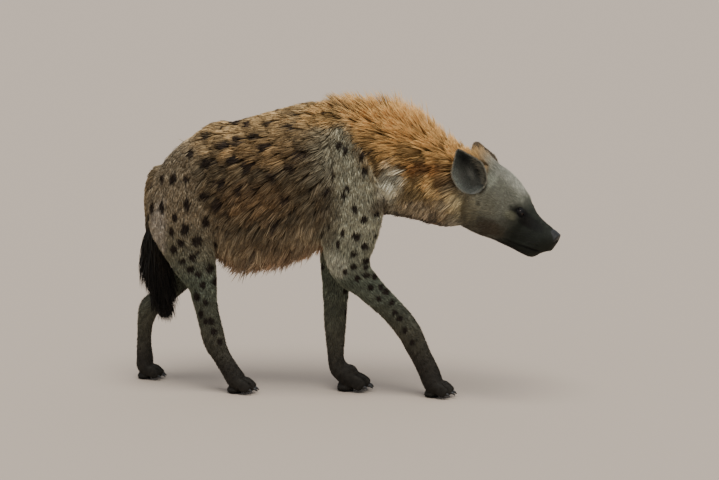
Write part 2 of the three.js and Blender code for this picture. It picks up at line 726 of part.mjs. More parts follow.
// The origin lies on the floor under the middle of the whole
const extent = new THREE.Box3().setFromObject(hyena);
const middle = extent.getCenter(new THREE.Vector3());
hyena.position.set(-middle.x, -middle.y, 0);

export default hyena;
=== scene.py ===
import math

import bpy
import numpy as np
from mathutils import Matrix, Vector
from mathutils.bvhtree import BVHTree


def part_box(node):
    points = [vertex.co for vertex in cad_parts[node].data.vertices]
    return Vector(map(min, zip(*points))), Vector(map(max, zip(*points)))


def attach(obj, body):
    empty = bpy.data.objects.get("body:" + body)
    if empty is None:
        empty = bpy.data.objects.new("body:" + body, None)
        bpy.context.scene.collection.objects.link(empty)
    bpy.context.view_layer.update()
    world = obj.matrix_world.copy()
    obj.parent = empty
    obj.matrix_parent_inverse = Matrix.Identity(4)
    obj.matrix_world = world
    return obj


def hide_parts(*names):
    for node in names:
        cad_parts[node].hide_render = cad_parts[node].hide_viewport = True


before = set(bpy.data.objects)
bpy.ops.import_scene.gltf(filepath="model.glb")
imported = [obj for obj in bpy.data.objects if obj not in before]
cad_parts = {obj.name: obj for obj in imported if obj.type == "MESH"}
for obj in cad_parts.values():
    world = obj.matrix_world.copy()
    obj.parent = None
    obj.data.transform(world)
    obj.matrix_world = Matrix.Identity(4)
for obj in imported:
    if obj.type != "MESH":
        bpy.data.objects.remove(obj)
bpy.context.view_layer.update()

# The animal's standing place. Its own sizes are millimetres from a point on the floor between the feet,
# with +X forward and +Y to its left. The right eye's box in the frame says where that point lies.
MM = 0.001
RIGHT, LEFT = -1, 1
HEAD_PITCH = math.radians(32.6)
HEAD_TURN = math.radians(12)
HEAD_AT = np.array([538.0, -28.0, 578.0])
HEAD_AHEAD = np.array([
    math.cos(HEAD_PITCH) * math.cos(HEAD_TURN),
    -math.cos(HEAD_PITCH) * math.sin(HEAD_TURN),
    -math.sin(HEAD_PITCH),
])
HEAD_SIDE = np.array([math.sin(HEAD_TURN), math.cos(HEAD_TURN), 0.0])
HEAD_UP = np.cross(HEAD_AHEAD, HEAD_SIDE)
EYE_SEAT = (108.0, 40.0, 29.0)
EYE_RADIUS = 13.0


def in_head(ahead, left, up):
    """The head's point so many millimetres ahead, to the left and up, along its own pitched and turned
    axes."""
    steps = np.stack(np.broadcast_arrays(ahead, left, up), -1).astype(float)
    return HEAD_AT + steps @ np.stack([HEAD_AHEAD, HEAD_SIDE, HEAD_UP])


def eye_centre(side):
    """The middle of the eyeball on that side, in the animal's millimetres."""
    return in_head(EYE_SEAT[0], side * EYE_SEAT[1], EYE_SEAT[2])


eye_low, eye_high = (np.array(corner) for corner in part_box("eye_right"))
STANDS_AT = (eye_low + eye_high) / 2 - eye_centre(RIGHT) * MM


def in_frame(points):
    """The animal's millimetres as metres in the frame."""
    return np.asarray(points) * MM + STANDS_AT


def in_mm(points):
    """The frame's metres as the animal's millimetres."""
    return (np.asarray(points) - STANDS_AT) / MM


# The camera: 9 m off, to the animal's right and a little ahead of it, looking slightly down through a long
# lens. The picture is 719 by 480.
PICTURE = (719, 480)
FOCAL_PX = 3180.0
CAMERA_AZIMUTH = math.radians(9)
CAMERA_ELEVATION = math.radians(10)
CAMERA_DISTANCE = 9.0
LOOKED_AT = np.array([0.0, 0.0, 400.0])
AIM_OFFSET = (0.167, 0.0325)  # metres right and up from there to the middle of the picture
SENSOR_MM = 36.0

look = np.array([
    -math.sin(CAMERA_AZIMUTH) * math.cos(CAMERA_ELEVATION),
    math.cos(CAMERA_AZIMUTH) * math.cos(CAMERA_ELEVATION),
    -math.sin(CAMERA_ELEVATION),
])
look_right = np.array([math.cos(CAMERA_AZIMUTH), math.sin(CAMERA_AZIMUTH), 0.0])
look_up = np.cross(look_right, look)
camera_at = in_frame(LOOKED_AT) - look * CAMERA_DISTANCE
camera_at = camera_at + look_right * AIM_OFFSET[0] + look_up * AIM_OFFSET[1]
camera_data = bpy.data.cameras.new("camera")
camera_data.sensor_fit = "HORIZONTAL"
camera_data.sensor_width = SENSOR_MM
camera_data.lens = FOCAL_PX * SENSOR_MM / PICTURE[0]
camera = bpy.data.objects.new("camera", camera_data)
bpy.context.collection.objects.link(camera)
turn = Matrix((Vector(look_right), Vector(look_up), Vector(-look))).transposed().to_4x4()
camera.matrix_world = Matrix.Translation(Vector(camera_at)) @ turn
bpy.context.scene.camera = camera


def sight(pixel_x, pixel_y):
    """The direction in which the camera sees that pixel of the 719 by 480 picture."""
    away = look * FOCAL_PX + look_right * (pixel_x - PICTURE[0] / 2) - look_up * (pixel_y - PICTURE[1] / 2)
    return away / np.linalg.norm(away)


# The body's forms, from which the skin is made: trunk, neck, head, four legs and tail. Each is flesh over
# bone, carried along its own bone line, and a station of it is the centre x, y, z, the half-width, the
# reach to the top or front and to the underside or back, and how square the section is on each of those
# sides.
TRUNK_STATIONS = [
    [-392, 0, 562, 62, 66, 90, 2.2, 2],
    [-368, 0, 568, 84, 98, 130, 2.2, 2],
    [-320, 0, 580, 96, 138, 160, 2.2, 2],
    [-250, 0, 590, 101, 172, 190, 2.1, 2],
    [-170, 0, 582, 116, 188, 208, 2, 2.1],
    [-90, 0, 586, 127, 206, 206, 2, 2.1],
    [-10, 0, 602, 129, 214, 200, 2, 2.1],
    [60, 0, 618, 122, 204, 184, 2, 2.2],
    [130, 0, 628, 110, 184, 176, 2, 2.2],
    [190, 0, 634, 96, 160, 158, 2, 2.2],
    [240, 0, 640, 74, 118, 122, 2, 2.2],
]
NECK_STATIONS = [
    [110, 0, 660, 80, 130, 130, 2, 2.2],
    [200, 0, 650, 92, 144, 134, 2, 2.2],
    [285, -1, 633, 87, 134, 122, 1.9, 2.2],
    [365, -6, 613, 82, 122, 114, 1.9, 2.2],
    [435, -14, 594, 76, 108, 112, 2, 2.2],
    [495, -22, 574, 68, 92, 90, 2, 2.2],
]
# Of the head: distance ahead, height of the widest line, half-width, top, underside, squareness above and
# below
HEAD_SECTIONS = [
    [-78, -6, 66, 76, -98, 2, 2.2],
    [-40, -2, 74, 86, -106, 2, 2.3],
    [0, -6, 83, 90, -108, 2, 2.4],
    [40, -11, 84, 86, -102, 2, 2.4],
    [80, -14, 75, 71, -91, 2.2, 2.3],
    [112, -17, 61, 53, -86, 2.2, 2.3],
    [140, -20, 49, 41, -81, 2, 2.4],
    [168, -20, 43, 35, -77, 2, 2.5],
    [194, -12, 40, 33, -70, 2, 2.5],
    [211, -3, 36, 31, -46, 2.2, 2.3],
    [226, 0, 30, 27, -27, 2.2, 2.3],
]
TAIL_STATIONS = [
    [-372, 0, 628, 22, 22, 22],
    [-404, 0, 618, 24, 24, 24],
    [-425, 0, 588, 24, 25, 22],
    [-434, 0, 540, 22, 24, 20],
    [-434, 0, 490, 20, 22, 19],
    [-430, 0, 440, 21, 26, 22],
    [-424, -2, 390, 22, 30, 24],
    [-414, -4, 335, 19, 27, 22],
    [-404, -5, 285, 14, 20, 16],
    [-398, -6, 245, 8, 11, 10],
]
# Of a leg: its stations down from the shoulder blade or hip, the places of its elbow or knee and of its
# wrist or hock, and its foot
LEGS = {
    "fore_right": (
        [
            [120, -60, 772, 24, 38, 38], [140, -74, 700, 38, 64, 60], [158, -78, 620, 44, 82, 76],
            [164, -76, 540, 46, 84, 82], [156, -72, 475, 44, 78, 80], [148, -68, 415, 40, 66, 68],
            [162, -62, 364, 35, 50, 60], [197, -56, 322, 30, 38, 42], [243, -50, 273, 28, 34, 35],
            [284, -44, 231, 27, 33, 34], [316, -39, 189, 27, 32, 34], [335, -36, 151, 26, 30, 32],
            [352, -33, 114, 25, 28, 29], [372, -31, 74, 28, 28, 30],
        ],
        6.6, 12, {"heel": (354, -30), "length": 90, "width": 80, "turn": -4},
    ),
    "fore_left": (
        [
            [100, 60, 772, 24, 38, 38], [118, 74, 700, 38, 64, 60], [135, 76, 620, 44, 82, 76],
            [140, 72, 540, 46, 84, 82], [128, 64, 475, 42, 76, 74], [108, 55, 415, 37, 60, 60],
            [98, 46, 355, 33, 48, 50], [96, 37, 300, 30, 40, 40], [96, 29, 250, 28, 36, 37],
            [96, 22, 205, 27, 33, 34], [97, 17, 160, 26, 30, 31], [98, 13, 128, 25, 27, 28],
            [101, 9, 98, 24, 22, 26], [108, 6, 64, 27, 20, 27],
        ],
        6.2, 12, {"heel": (96, 5), "length": 104, "width": 80, "turn": 3},
    ),
    "hind_right": (
        [
            [-320, -46, 690, 32, 60, 56], [-328, -60, 622, 44, 86, 84], [-330, -66, 550, 48, 98, 102],
            [-324, -70, 480, 47, 95, 98], [-306, -70, 412, 42, 78, 78], [-286, -70, 355, 36, 60, 60],
            [-270, -70, 310, 31, 45, 43], [-262, -70, 265, 27, 36, 38], [-252, -70, 215, 24, 34, 35],
            [-241, -70, 172, 24, 34, 37], [-232, -70, 138, 23, 32, 35], [-216, -70, 106, 22, 27, 28],
            [-196, -70, 74, 24, 25, 27],
        ],
        5.4, 11.2, {"heel": (-206, -70), "length": 90, "width": 70, "turn": -2},
    ),
    "hind_left": (
        [
            [-335, 46, 690, 32, 60, 56], [-343, 60, 622, 44, 86, 80], [-348, 66, 550, 48, 98, 86],
            [-344, 70, 480, 47, 96, 84], [-332, 70, 415, 42, 76, 72], [-326, 70, 365, 37, 57, 57],
            [-344, 71, 320, 32, 41, 44], [-380, 72, 278, 28, 33, 36], [-417, 73, 242, 25, 29, 31],
            [-449, 74, 212, 24, 28, 38], [-465, 74, 178, 23, 25, 29], [-471, 74, 140, 21, 22, 23],
            [-473, 74, 102, 21, 22, 23], [-471, 74, 66, 24, 24, 25],
        ],
        5.4, 12.2, {"heel": (-498, 74), "length": 82, "width": 68, "turn": 2},
    ),
}


def unit(vectors):
    """The vectors at length one."""
    return vectors / np.maximum(np.linalg.norm(vectors, axis=-1, keepdims=True), 1e-12)


def eased(value, start, end):
    """0 before start and 1 past end, rising smoothly as three squares less two cubes of the share
    between."""
    share = np.clip((np.asarray(value, float) - start) / (end - start), 0, 1)
    return share * share * (3 - 2 * share)


def bell(value, half):
    """A bell curve: one at nought, and the exponential of minus the square of the value over the half-
    width."""
    return np.exp(-((value / half) ** 2))


def through(rows, places):
    """The Catmull-Rom curve through rows of numbers, at places counted in rows."""
    last = len(rows) - 1
    i = np.clip(np.floor(places).astype(int), 0, last - 1)
    t = (places - i)[..., None]
    a, b, c, d = (rows[np.clip(i + k, 0, last)] for k in (-1, 0, 1, 2))
    return 0.5 * (2 * b + (c - a) * t + (2 * a - 5 * b + 4 * c - d) * t**2 + (3 * b - a - 3 * c + d) * t**3)


class BodyForm:
    """One form of the body. Its surface at a place along the path and an angle from its left side to its
    top is the centre, plus the side axis times the half-width times the cosine, plus the up axis times the
    reach times the sine, each of the two raised to 2 over the squareness. The gauge is the direction along
    which places are read back from points."""

    def __init__(self, stations, gauge, axes=None):
        self.rows = np.array([list(row) + [2.0] * (8 - len(row)) for row in stations], float)
        self.gauge = np.array(gauge, float)
        self.axes = axes
        self.last = len(self.rows) - 1

    def frame(self, place):
        """The ahead, side and up axes: the given ones, or the path's own with the side kept level."""
        if self.axes is not None:
            return tuple(np.broadcast_to(axis, place.shape + (3,)) for axis in self.axes)
        step = 0.05
        before = through(self.rows, np.clip(place - step, 0, self.last))[..., :3]
        after = through(self.rows, np.clip(place + step, 0, self.last))[..., :3]
        ahead = unit(after - before)
        up = unit(np.cross(ahead, [0.0, 1.0, 0.0]))
        return ahead, np.cross(up, ahead), up

    def point(self, place, angle, inset=0.0, shrink=1.0, shift=0.0):
        place, angle = np.broadcast_arrays(np.asarray(place, float), angle)
        row = through(self.rows, place)
        ahead, side, up = self.frame(place)
        over = np.sin(angle) >= 0
        power = 2 / np.where(over, row[..., 6], row[..., 7])
        reach = np.where(over, row[..., 4], row[..., 5]) - inset
        wide = np.sign(np.cos(angle)) * np.abs(np.cos(angle)) ** power * (row[..., 3] - inset) * shrink
        tall = np.sign(np.sin(angle)) * np.abs(np.sin(angle)) ** power * reach * shrink
        return row[..., :3] + ahead * shift + side * wide[..., None] + up * tall[..., None]

    def read(self, points):
        """Place, angle and rough distance out of the form for each point, in the animal's millimetres."""
        marks = self.rows[:, :3] @ self.gauge
        along = points @ self.gauge
        place = np.interp(along, marks, np.arange(self.last + 1))
        row = through(self.rows, place)
        _, side, up = self.frame(place)
        off = points - row[:, :3]
        across = np.sum(off * side, -1)
        height = np.sum(off * up, -1)
        reach = np.where(height >= 0, row[:, 4], row[:, 5])
        square = np.where(height >= 0, row[:, 6], row[:, 7])
        ratio = (np.abs(across / row[:, 3]) ** square + np.abs(height / reach) ** square) ** (1 / square)
        out = (ratio - 1) * (row[:, 3] + reach) / 2
        past = np.abs(along - np.clip(along, marks[0], marks[-1]))
        out = np.where(past > 0, np.hypot(np.maximum(out, 0), past), out)
        return place, np.arctan2(height / reach, across / row[:, 3]), out

    def shell(self, sides, steps, domes, insets):
        """The closed skin of the form: rings along the path, an elliptic dome at each end, and a pole."""
        places = np.linspace(0, self.last, self.last * steps + 1)
        inset = np.interp(places, *insets)
        angles = np.arange(sides) * 2 * math.pi / sides
        rings = [self.point(places[:, None], angles[None, :], inset[:, None])]
        turns = np.radians([22, 44, 64, 80])
        for end, way in ((0, -1), (1, 1)):
            place = np.full((4, 1), float(end * self.last))
            dome = (np.cos(turns)[:, None], way * np.sin(turns)[:, None, None] * domes[end])
            cap = self.point(place, angles[None, :], inset[-end], *dome)
            rings = [cap[::-1], *rings] if end == 0 else [*rings, cap]
        ends = np.array([0.0, self.last])
        poles = through(self.rows, ends)[:, :3] + self.frame(ends)[0] * [[-domes[0]], [domes[1]]]
        return closed_over(np.concatenate(rings), *poles)


def closed_over(rings, start, end):
    """Points and faces over a stack of rings, each ring counter-clockwise seen from its end, with a fan to
    the pole at each end."""
    count, sides = rings.shape[:2]
    j = np.arange(sides)
    after = (j + 1) % sides
    base = np.arange(count - 1)[:, None] * sides
    quads = np.stack([base + j, base + after, base + after + sides, base + j + sides], -1).reshape(-1, 4)
    first = count * sides
    top = first - sides
    fans = np.concatenate([
        np.stack([np.full(sides, first), after, j], -1),
        np.stack([np.full(sides, first + 1), top + j, top + after], -1),
    ])
    return np.concatenate([rings.reshape(-1, 3), [start], [end]]), quads.tolist() + fans.tolist()


def mesh_object(name, points, faces, smooth=True):
    """An object at the origin with these points in the frame's metres."""
    mesh = bpy.data.meshes.new(name)
    mesh.from_pydata(np.asarray(points).tolist(), [], faces)
    mesh.polygons.foreach_set("use_smooth", [smooth] * len(mesh.polygons))
    mesh.update()
    thing = bpy.data.objects.new(name, mesh)
    bpy.context.collection.objects.link(thing)
    return thing


def array_mesh(name, points, faces):
    """A smooth mesh from arrays: points in the frame's metres, and faces with as many corners each."""
    mesh = bpy.data.meshes.new(name)
    mesh.vertices.add(len(points))
    mesh.vertices.foreach_set("co", points.ravel())
    mesh.loops.add(faces.size)
    mesh.loops.foreach_set("vertex_index", faces.ravel())
    mesh.polygons.add(len(faces))
    mesh.polygons.foreach_set("loop_start", np.arange(len(faces)) * faces.shape[1])
    mesh.polygons.foreach_set("use_smooth", np.ones(len(faces), bool))
    mesh.update(calc_edges=True)
    return mesh


def joined(shells):
    """Several closed shells as one array of points and one list of faces."""
    points, faces, count = [], [], 0
    for shell_points, shell_faces in shells:
        points.append(shell_points)
        faces += [[corner + count for corner in face] for face in shell_faces]
        count += len(shell_points)
    return np.concatenate(points), faces


def painted(thing, colours):
    """Stores the colours on the mesh's points as the attribute that its material reads."""
    attribute = thing.data.color_attributes.new("Tone", "FLOAT_COLOR", "POINT")
    filled = np.concatenate([colours, np.ones((len(colours), 1))], 1).astype(np.float32)
    attribute.data.foreach_set("color", filled.ravel())


def foot_row(foot, ahead, left, up, half, front, back):
    """A station of a foot, from shares of its length ahead and up and of its width to the left."""
    turn = math.radians(foot["turn"])
    x, y = ahead * foot["length"], left * foot["width"]
    return [
        foot["heel"][0] + x * math.cos(turn) - y * math.sin(turn),
        foot["heel"][1] + x * math.sin(turn) + y * math.cos(turn),
        up * foot["length"],
        half * foot["width"],
        front * foot["length"],
        back * foot["length"],
    ]


BODY_AXES = (np.array([1.0, 0, 0]), np.array([0, 1.0, 0]), np.array([0, 0, 1.0]))
HEAD_AXES = (HEAD_AHEAD, HEAD_SIDE, HEAD_UP)
FORWARD, DOWN = (1, 0, 0), (0, 0, -1)
head_stations = [
    [*in_head(ahead, 0, middle), half, top - middle, middle - under, square_top, square_under]
    for ahead, middle, half, top, under, square_top, square_under in HEAD_SECTIONS
]
FORMS = {
    "trunk": BodyForm(TRUNK_STATIONS, FORWARD, BODY_AXES),
    "neck": BodyForm(NECK_STATIONS, FORWARD),
    "head": BodyForm(head_stations, HEAD_AHEAD, HEAD_AXES),
    "tail": BodyForm(TAIL_STATIONS, DOWN),
}
for leg, (stations, elbow, wrist, foot) in LEGS.items():
    core = [foot_row(foot, 0.36, 0, 0.48, 0.4, 0.28, 0.34), foot_row(foot, 0.54, 0, 0.33, 0.45, 0.21, 0.3)]
    FORMS[leg] = BodyForm(stations + core, DOWN)

# How deep the skin lies under the outline of the coat, in millimetres, by place along each form
SKIN_DEPTH = {
    "trunk": ([0, 3, 10], [5, 5, 6]),
    "neck": ([0, 5], [8, 6]),
    "head": ([0, 3, 10], [2.5, 1.5, 0.5]),
    "tail": ([0, 4, 9], [5, 6, 5]),
    "fore_right": ([0, 1, 2, 5, 8, 15], [20, 12, 6, 2, 0, 0]),
    "fore_left": ([0, 1, 2, 5, 8, 15], [20, 12, 7, 4, 2, 1]),
    "hind_right": ([0, 1, 2, 5, 8, 14], [30, 16, 7, 4, 2, 1]),
    "hind_left": ([0, 1, 2, 5, 8, 15], [30, 16, 7, 4, 2, 1]),
}
DOMES = {"trunk": (18, 30), "neck": (2, 2), "head": (2, 7), "tail": (2, 12)}

shells = []
for name, form in FORMS.items():
    domes = DOMES.get(name, (20, 9))
    shells.append(form.shell(40, 4, domes, SKIN_DEPTH[name]))

# Toes and pads: four arched toes on each foot, and the heel pad behind them
TOES = (-0.37, -0.125, 0.125, 0.37)
TOE_SIDES = 20
OUTER_TOE_REACH = 0.88
# Of a toe, its claw and a pad: distance ahead, place across, height, half-width, reach to the front and the
# back, the place across being in shares of the toe's own and the rest in shares of the foot
TOE_ROWS = [
    (0.46, 0.8, 0.34, 0.105, 0.14, 0.14), (0.7, 1.0, 0.31, 0.118, 0.19, 0.22),
    (0.88, 1.05, 0.19, 0.112, 0.18, 0.19),
]
CLAW_ROWS = [
    (0.82, 1.06, 0.185, 0.045, 0.05, 0.06), (0.92, 1.06, 0.19, 0.042, 0.045, 0.055),
    (1.0, 1.07, 0.165, 0.034, 0.034, 0.042), (1.06, 1.08, 0.115, 0.018, 0.018, 0.024),
]
PAD_ROWS = [
    (0.13, 0, 0.12, 0.22, 0.1, 0.13), (0.31, 0, 0.11, 0.34, 0.11, 0.13), (0.48, 0, 0.12, 0.24, 0.1, 0.13),
]


def toe_form(foot, toe, rows):
    """A toe of that foot, or its claw. The two outer toes don't reach as far as the two middle ones."""
    reach = OUTER_TOE_REACH if abs(toe) > 0.2 else 1.0
    stations = [foot_row(foot, ahead * reach, toe * out, *sizes) for ahead, out, *sizes in rows]
    return BodyForm(stations, FORWARD)


for _, _, _, foot in LEGS.values():
    for toe in TOES:
        shells.append(toe_form(foot, toe, TOE_ROWS).shell(TOE_SIDES, 4, (4, 6), ([0, 2], [1.5, 1.5])))
    pad = BodyForm([foot_row(foot, *row) for row in PAD_ROWS], FORWARD)
    shells.append(pad.shell(TOE_SIDES, 4, (5, 5), ([0, 2], [0, 0])))

# The skin is one closed surface over all the forms. Space is drawn out about the head and the feet while it
# is remeshed, so that its squares are half as wide there, and it is smoothed where the legs and neck join
# the trunk.
SKIN_SQUARE = 0.0053
SMOOTH_BODY, SMOOTH_FIRM, SMOOTH_ROUNDS = 0.5, 0.12, 14  # the head and the feet are smoothed less
FINER = [(in_frame(in_head(70, 0, -10)), 0.19, 1.0)] + [
    (in_frame([foot["heel"][0] + 0.6 * foot["length"], foot["heel"][1], 20]), 0.075, 0.9)
    for _, _, _, foot in LEGS.values()
]


def drawn_out(points):
    """Each point moved from each centre to its distance times one plus the gain over one plus the fourth
    power of the distance over the radius."""
    for centre, radius, gain in FINER:
        off = points - centre
        far = np.linalg.norm(off, axis=1, keepdims=True)
        points = centre + off * (1 + gain / (1 + (far / radius) ** 4))
    return points


def drawn_back(points):
    """The inverse, from a table of distances before and after."""
    table = np.linspace(0, 3.0, 6001)
    for centre, radius, gain in reversed(FINER):
        moved = table * (1 + gain / (1 + (table / radius) ** 4))
        off = points - centre
        far = np.linalg.norm(off, axis=1, keepdims=True)
        points = centre + off * np.interp(far, moved, table) / np.maximum(far, 1e-9)
    return points


form_points, form_faces = joined(shells)
forms_object = mesh_object("skin_forms", drawn_out(in_frame(form_points)), form_faces)
remesh = forms_object.modifiers.new("one_surface", "REMESH")
remesh.mode = "VOXEL"
remesh.voxel_size = SKIN_SQUARE
remesh.adaptivity = 0.0
remeshed = bpy.data.meshes.new_from_object(forms_object.evaluated_get(bpy.context.evaluated_depsgraph_get()))
skin_points = np.empty(len(remeshed.vertices) * 3)
remeshed.vertices.foreach_get("co", skin_points)
skin_points = drawn_back(skin_points.reshape(-1, 3))
skin_quads = np.empty(len(remeshed.loops), dtype=np.int32)
remeshed.loops.foreach_get("vertex_index", skin_quads)
skin_quads = skin_quads.reshape(-1, 4)
bpy.data.objects.remove(forms_object)
bpy.data.meshes.remove(remeshed)


def normals_of(points, quads):
    """The outward normal at each point, the sum of the cross products of the squares' diagonals round it."""
    across = np.cross(points[quads[:, 2]] - points[quads[:, 0]], points[quads[:, 3]] - points[quads[:, 1]])
    total = np.zeros_like(points)
    for corner in range(4):
        for axis in range(3):
            total[:, axis] += np.bincount(quads[:, corner], across[:, axis], len(points))
    return unit(total)


def smoothed(points, quads, amount, rounds):
    """Each point moved towards the mean of its neighbours by its own amount, some rounds over."""
    ends = np.concatenate([quads[:, [0, 1]], quads[:, [1, 2]], quads[:, [2, 3]], quads[:, [3, 0]]])
    degree = np.bincount(ends[:, 0], minlength=len(points))[:, None]
    for _ in range(rounds):
        sums = [np.bincount(ends[:, 0], points[ends[:, 1], axis], len(points)) for axis in range(3)]
        points = points + (np.stack(sums, -1) / np.maximum(degree, 1) - points) * amount[:, None]
    return points


skin_mm = in_mm(skin_points)
head_share = eased((skin_mm - HEAD_AT) @ HEAD_AHEAD, -60, 20)
foot_share = 1 - eased(skin_mm[:, 2], 60, 130)
firm = np.maximum(head_share, foot_share)
skin_points = smoothed(skin_points, skin_quads, SMOOTH_BODY * (1 - firm) + SMOOTH_FIRM * firm, SMOOTH_ROUNDS)
skin_normals = normals_of(skin_points, skin_quads)

# The face: brow, cheek and whisker pad over the bone, the sockets of the eyes, and the line of the closed
# mouth with its lips. Each is pressed into the skin or raised from it along its normal.
# A swelling: ahead, out to the side, up, radius, height
SWELLINGS = [
    (92, 47, 50, 15, 3.5),
    (128, 38, 40, 13, 2.0),
    (18, 76, -38, 34, 4.0),
    (186, 37, -18, 16, 2.6),
    (201, 0, -62, 15, 2.0),
    (140, 44, 4, 12, -3.0),
    (66, 66, 22, 16, -3.0),
    (20, 0, 88, 12, -1.6),
    (55, 0, 82, 12, -1.6),
    (60, 60, 52, 15, 2.0),
]
MOUTH_FRONT = [(234, 2, -25), (224, 26, -28)]
MOUTH_SIDE = [(206, -34), (178, -43), (146, -52), (112, -57)]
MOUTH_GROOVE = (4.2, 2.6)  # depth and half-width
LIP = (5.5, 2.4, 4.5)  # height over the line, swelling and half-width
CHIN_LIP = (-5.0, 1.4, 4.0)
SOCKET = (15.5, 11.5)  # half-length and half-height of the opening that the lids close round
SOCKET_SEAT = 3.0


def head_half_width(ahead, height):
    """Half the head's width there: the half-width times the power-curve of the height over the reach."""
    rows = np.array(HEAD_SECTIONS, float)
    place = np.interp(ahead, rows[:, 0], np.arange(len(rows)))
    _, middle, half, top, under, square_top, square_under = through(rows, np.array([place]))[0]
    reach, square = (top - middle, square_top) if height > middle else (middle - under, square_under)
    return half * max(0.0, 1 - (abs(height - middle) / reach) ** square) ** (1 / square)


def mouth_line(side):
    """Points of the mouth line on that side, on the skin, from under the nose to the corner."""
    front = [in_head(ahead, side * out, up) for ahead, out, up in MOUTH_FRONT]
    flank = [in_head(ahead, side * head_half_width(ahead, up), up) for ahead, up in MOUTH_SIDE]
    rows = np.array(front + flank)
    return through(rows, np.linspace(0, len(rows) - 1, 61))


def distance_to(points, line):
    """The distance from each point to the nearest point of the line, and which one that is."""
    apart = np.linalg.norm(points[:, None] - line[None], axis=-1)
    nearest = apart.argmin(1)
    return apart[np.arange(len(points)), nearest], nearest


def head_reading(points):
    """The points' distances ahead, to the left and up in the head's own axes."""
    off = points - HEAD_AT
    return off @ HEAD_AHEAD, off @ HEAD_SIDE, off @ HEAD_UP


def eye_axes(side):
    """Out of the eye, along its slit towards the nose, and across the slit."""
    out = unit(in_head(0.34, side * 0.86, 0.32) - HEAD_AT)
    slant = math.radians(13)
    along = HEAD_AHEAD * math.cos(slant) - HEAD_UP * math.sin(slant)
    along = unit(along - out * (along @ out))
    across = np.cross(out, along)
    return out, along, across * np.sign(across @ HEAD_UP)


skin_mm = in_mm(skin_points)
ahead, left, up = head_reading(skin_mm)
on_head = np.nonzero(ahead > -40)[0]
face = skin_mm[on_head]
face_normals = skin_normals[on_head]
rise = np.zeros(len(face))
for side in (RIGHT, LEFT):
    for s_ahead, s_out, s_up, radius, height in SWELLINGS:
        if s_out == 0 and side == LEFT:
            continue
        near = np.linalg.norm(face - in_head(s_ahead, side * s_out, s_up), axis=1)
        rise += height * bell(near, radius)
    line = mouth_line(side)
    near, _ = distance_to(face, line)
    rise -= MOUTH_GROOVE[0] * bell(near, MOUTH_GROOVE[1])
    for over, swelling, half in (LIP, CHIN_LIP):
        near, _ = distance_to(face, line + HEAD_UP * over)
        rise += swelling * bell(near, half)
face = face + face_normals * rise[:, None]
for side in (RIGHT, LEFT):
    out, along, across = eye_axes(side)
    off = face - eye_centre(side)
    spread = np.hypot(off @ along / SOCKET[0], off @ across / SOCKET[1])
    proud = np.maximum(off @ out - SOCKET_SEAT, 0) * (np.linalg.norm(off, axis=1) < 2.2 * EYE_RADIUS)
    face = face - out * (proud * (1 - eased(spread, 0.8, 1.12)))[:, None]
skin_mm[on_head] = face
skin_mm[:, 2] = np.maximum(skin_mm[:, 2], 0.4)
skin_points = in_frame(skin_mm)
skin_normals = normals_of(skin_points, skin_quads)

skin_mesh = array_mesh("skin", skin_points, skin_quads)
skin = bpy.data.objects.new("skin", skin_mesh)
bpy.context.collection.objects.link(skin)

# Ears: large rounded cups of gristle and thin skin, set low in the side of the head and opening outwards
# and a little forward. The outer wall bulges back into the head, and the inner wall follows it up to a thin
# rim.
EAR_LOW = (-20, 80, 12)
EAR_TIP = (-128, 92, 85)
EAR_FACING = (0.24, 0.96, 0.06)
EAR_LAID_BACK = {RIGHT: (4, 0, 0), LEFT: (-4, 0, -12)}  # the far ear lies further back
EAR_HALF = 47.0
EAR_WIDEST = 0.43
EAR_WALL = 3.6
EAR_RINGS = 44
EAR_ROUND = 26
EAR_SKIN = (0.066, 0.067, 0.058)
# A fold of the gristle inside: height, place round the wall, half-width, and the shares over which it rises
EAR_FOLDS = [(2.6, 0.62, 0.13, 0.16, 0.4), (1.8, 1.15, 0.1, 0.25, 0.5)]
# Up the ear, across it towards the front, height and width of the patch, and how much lighter it is. The dark
# patches are painted shade in the upper hollow and before the middle fold. The pale ones on that fold and
# along the front edge are painted highlight on the ridges, and the ear is also paler along its hind edge and
# at its foot.
EAR_LIGHT_AND_SHADE = [
    (0.74, 0.1, 0.2, 0.5, -0.8), (0.42, 0.55, 0.15, 0.22, -0.8), (0.4, 0.05, 0.13, 0.14, 1.1),
    (0.4, -0.85, 0.35, 0.25, 1.2), (0.02, 0.0, 0.16, 0.8, 0.7), (0.6, 0.75, 0.3, 0.12, 0.5),
]


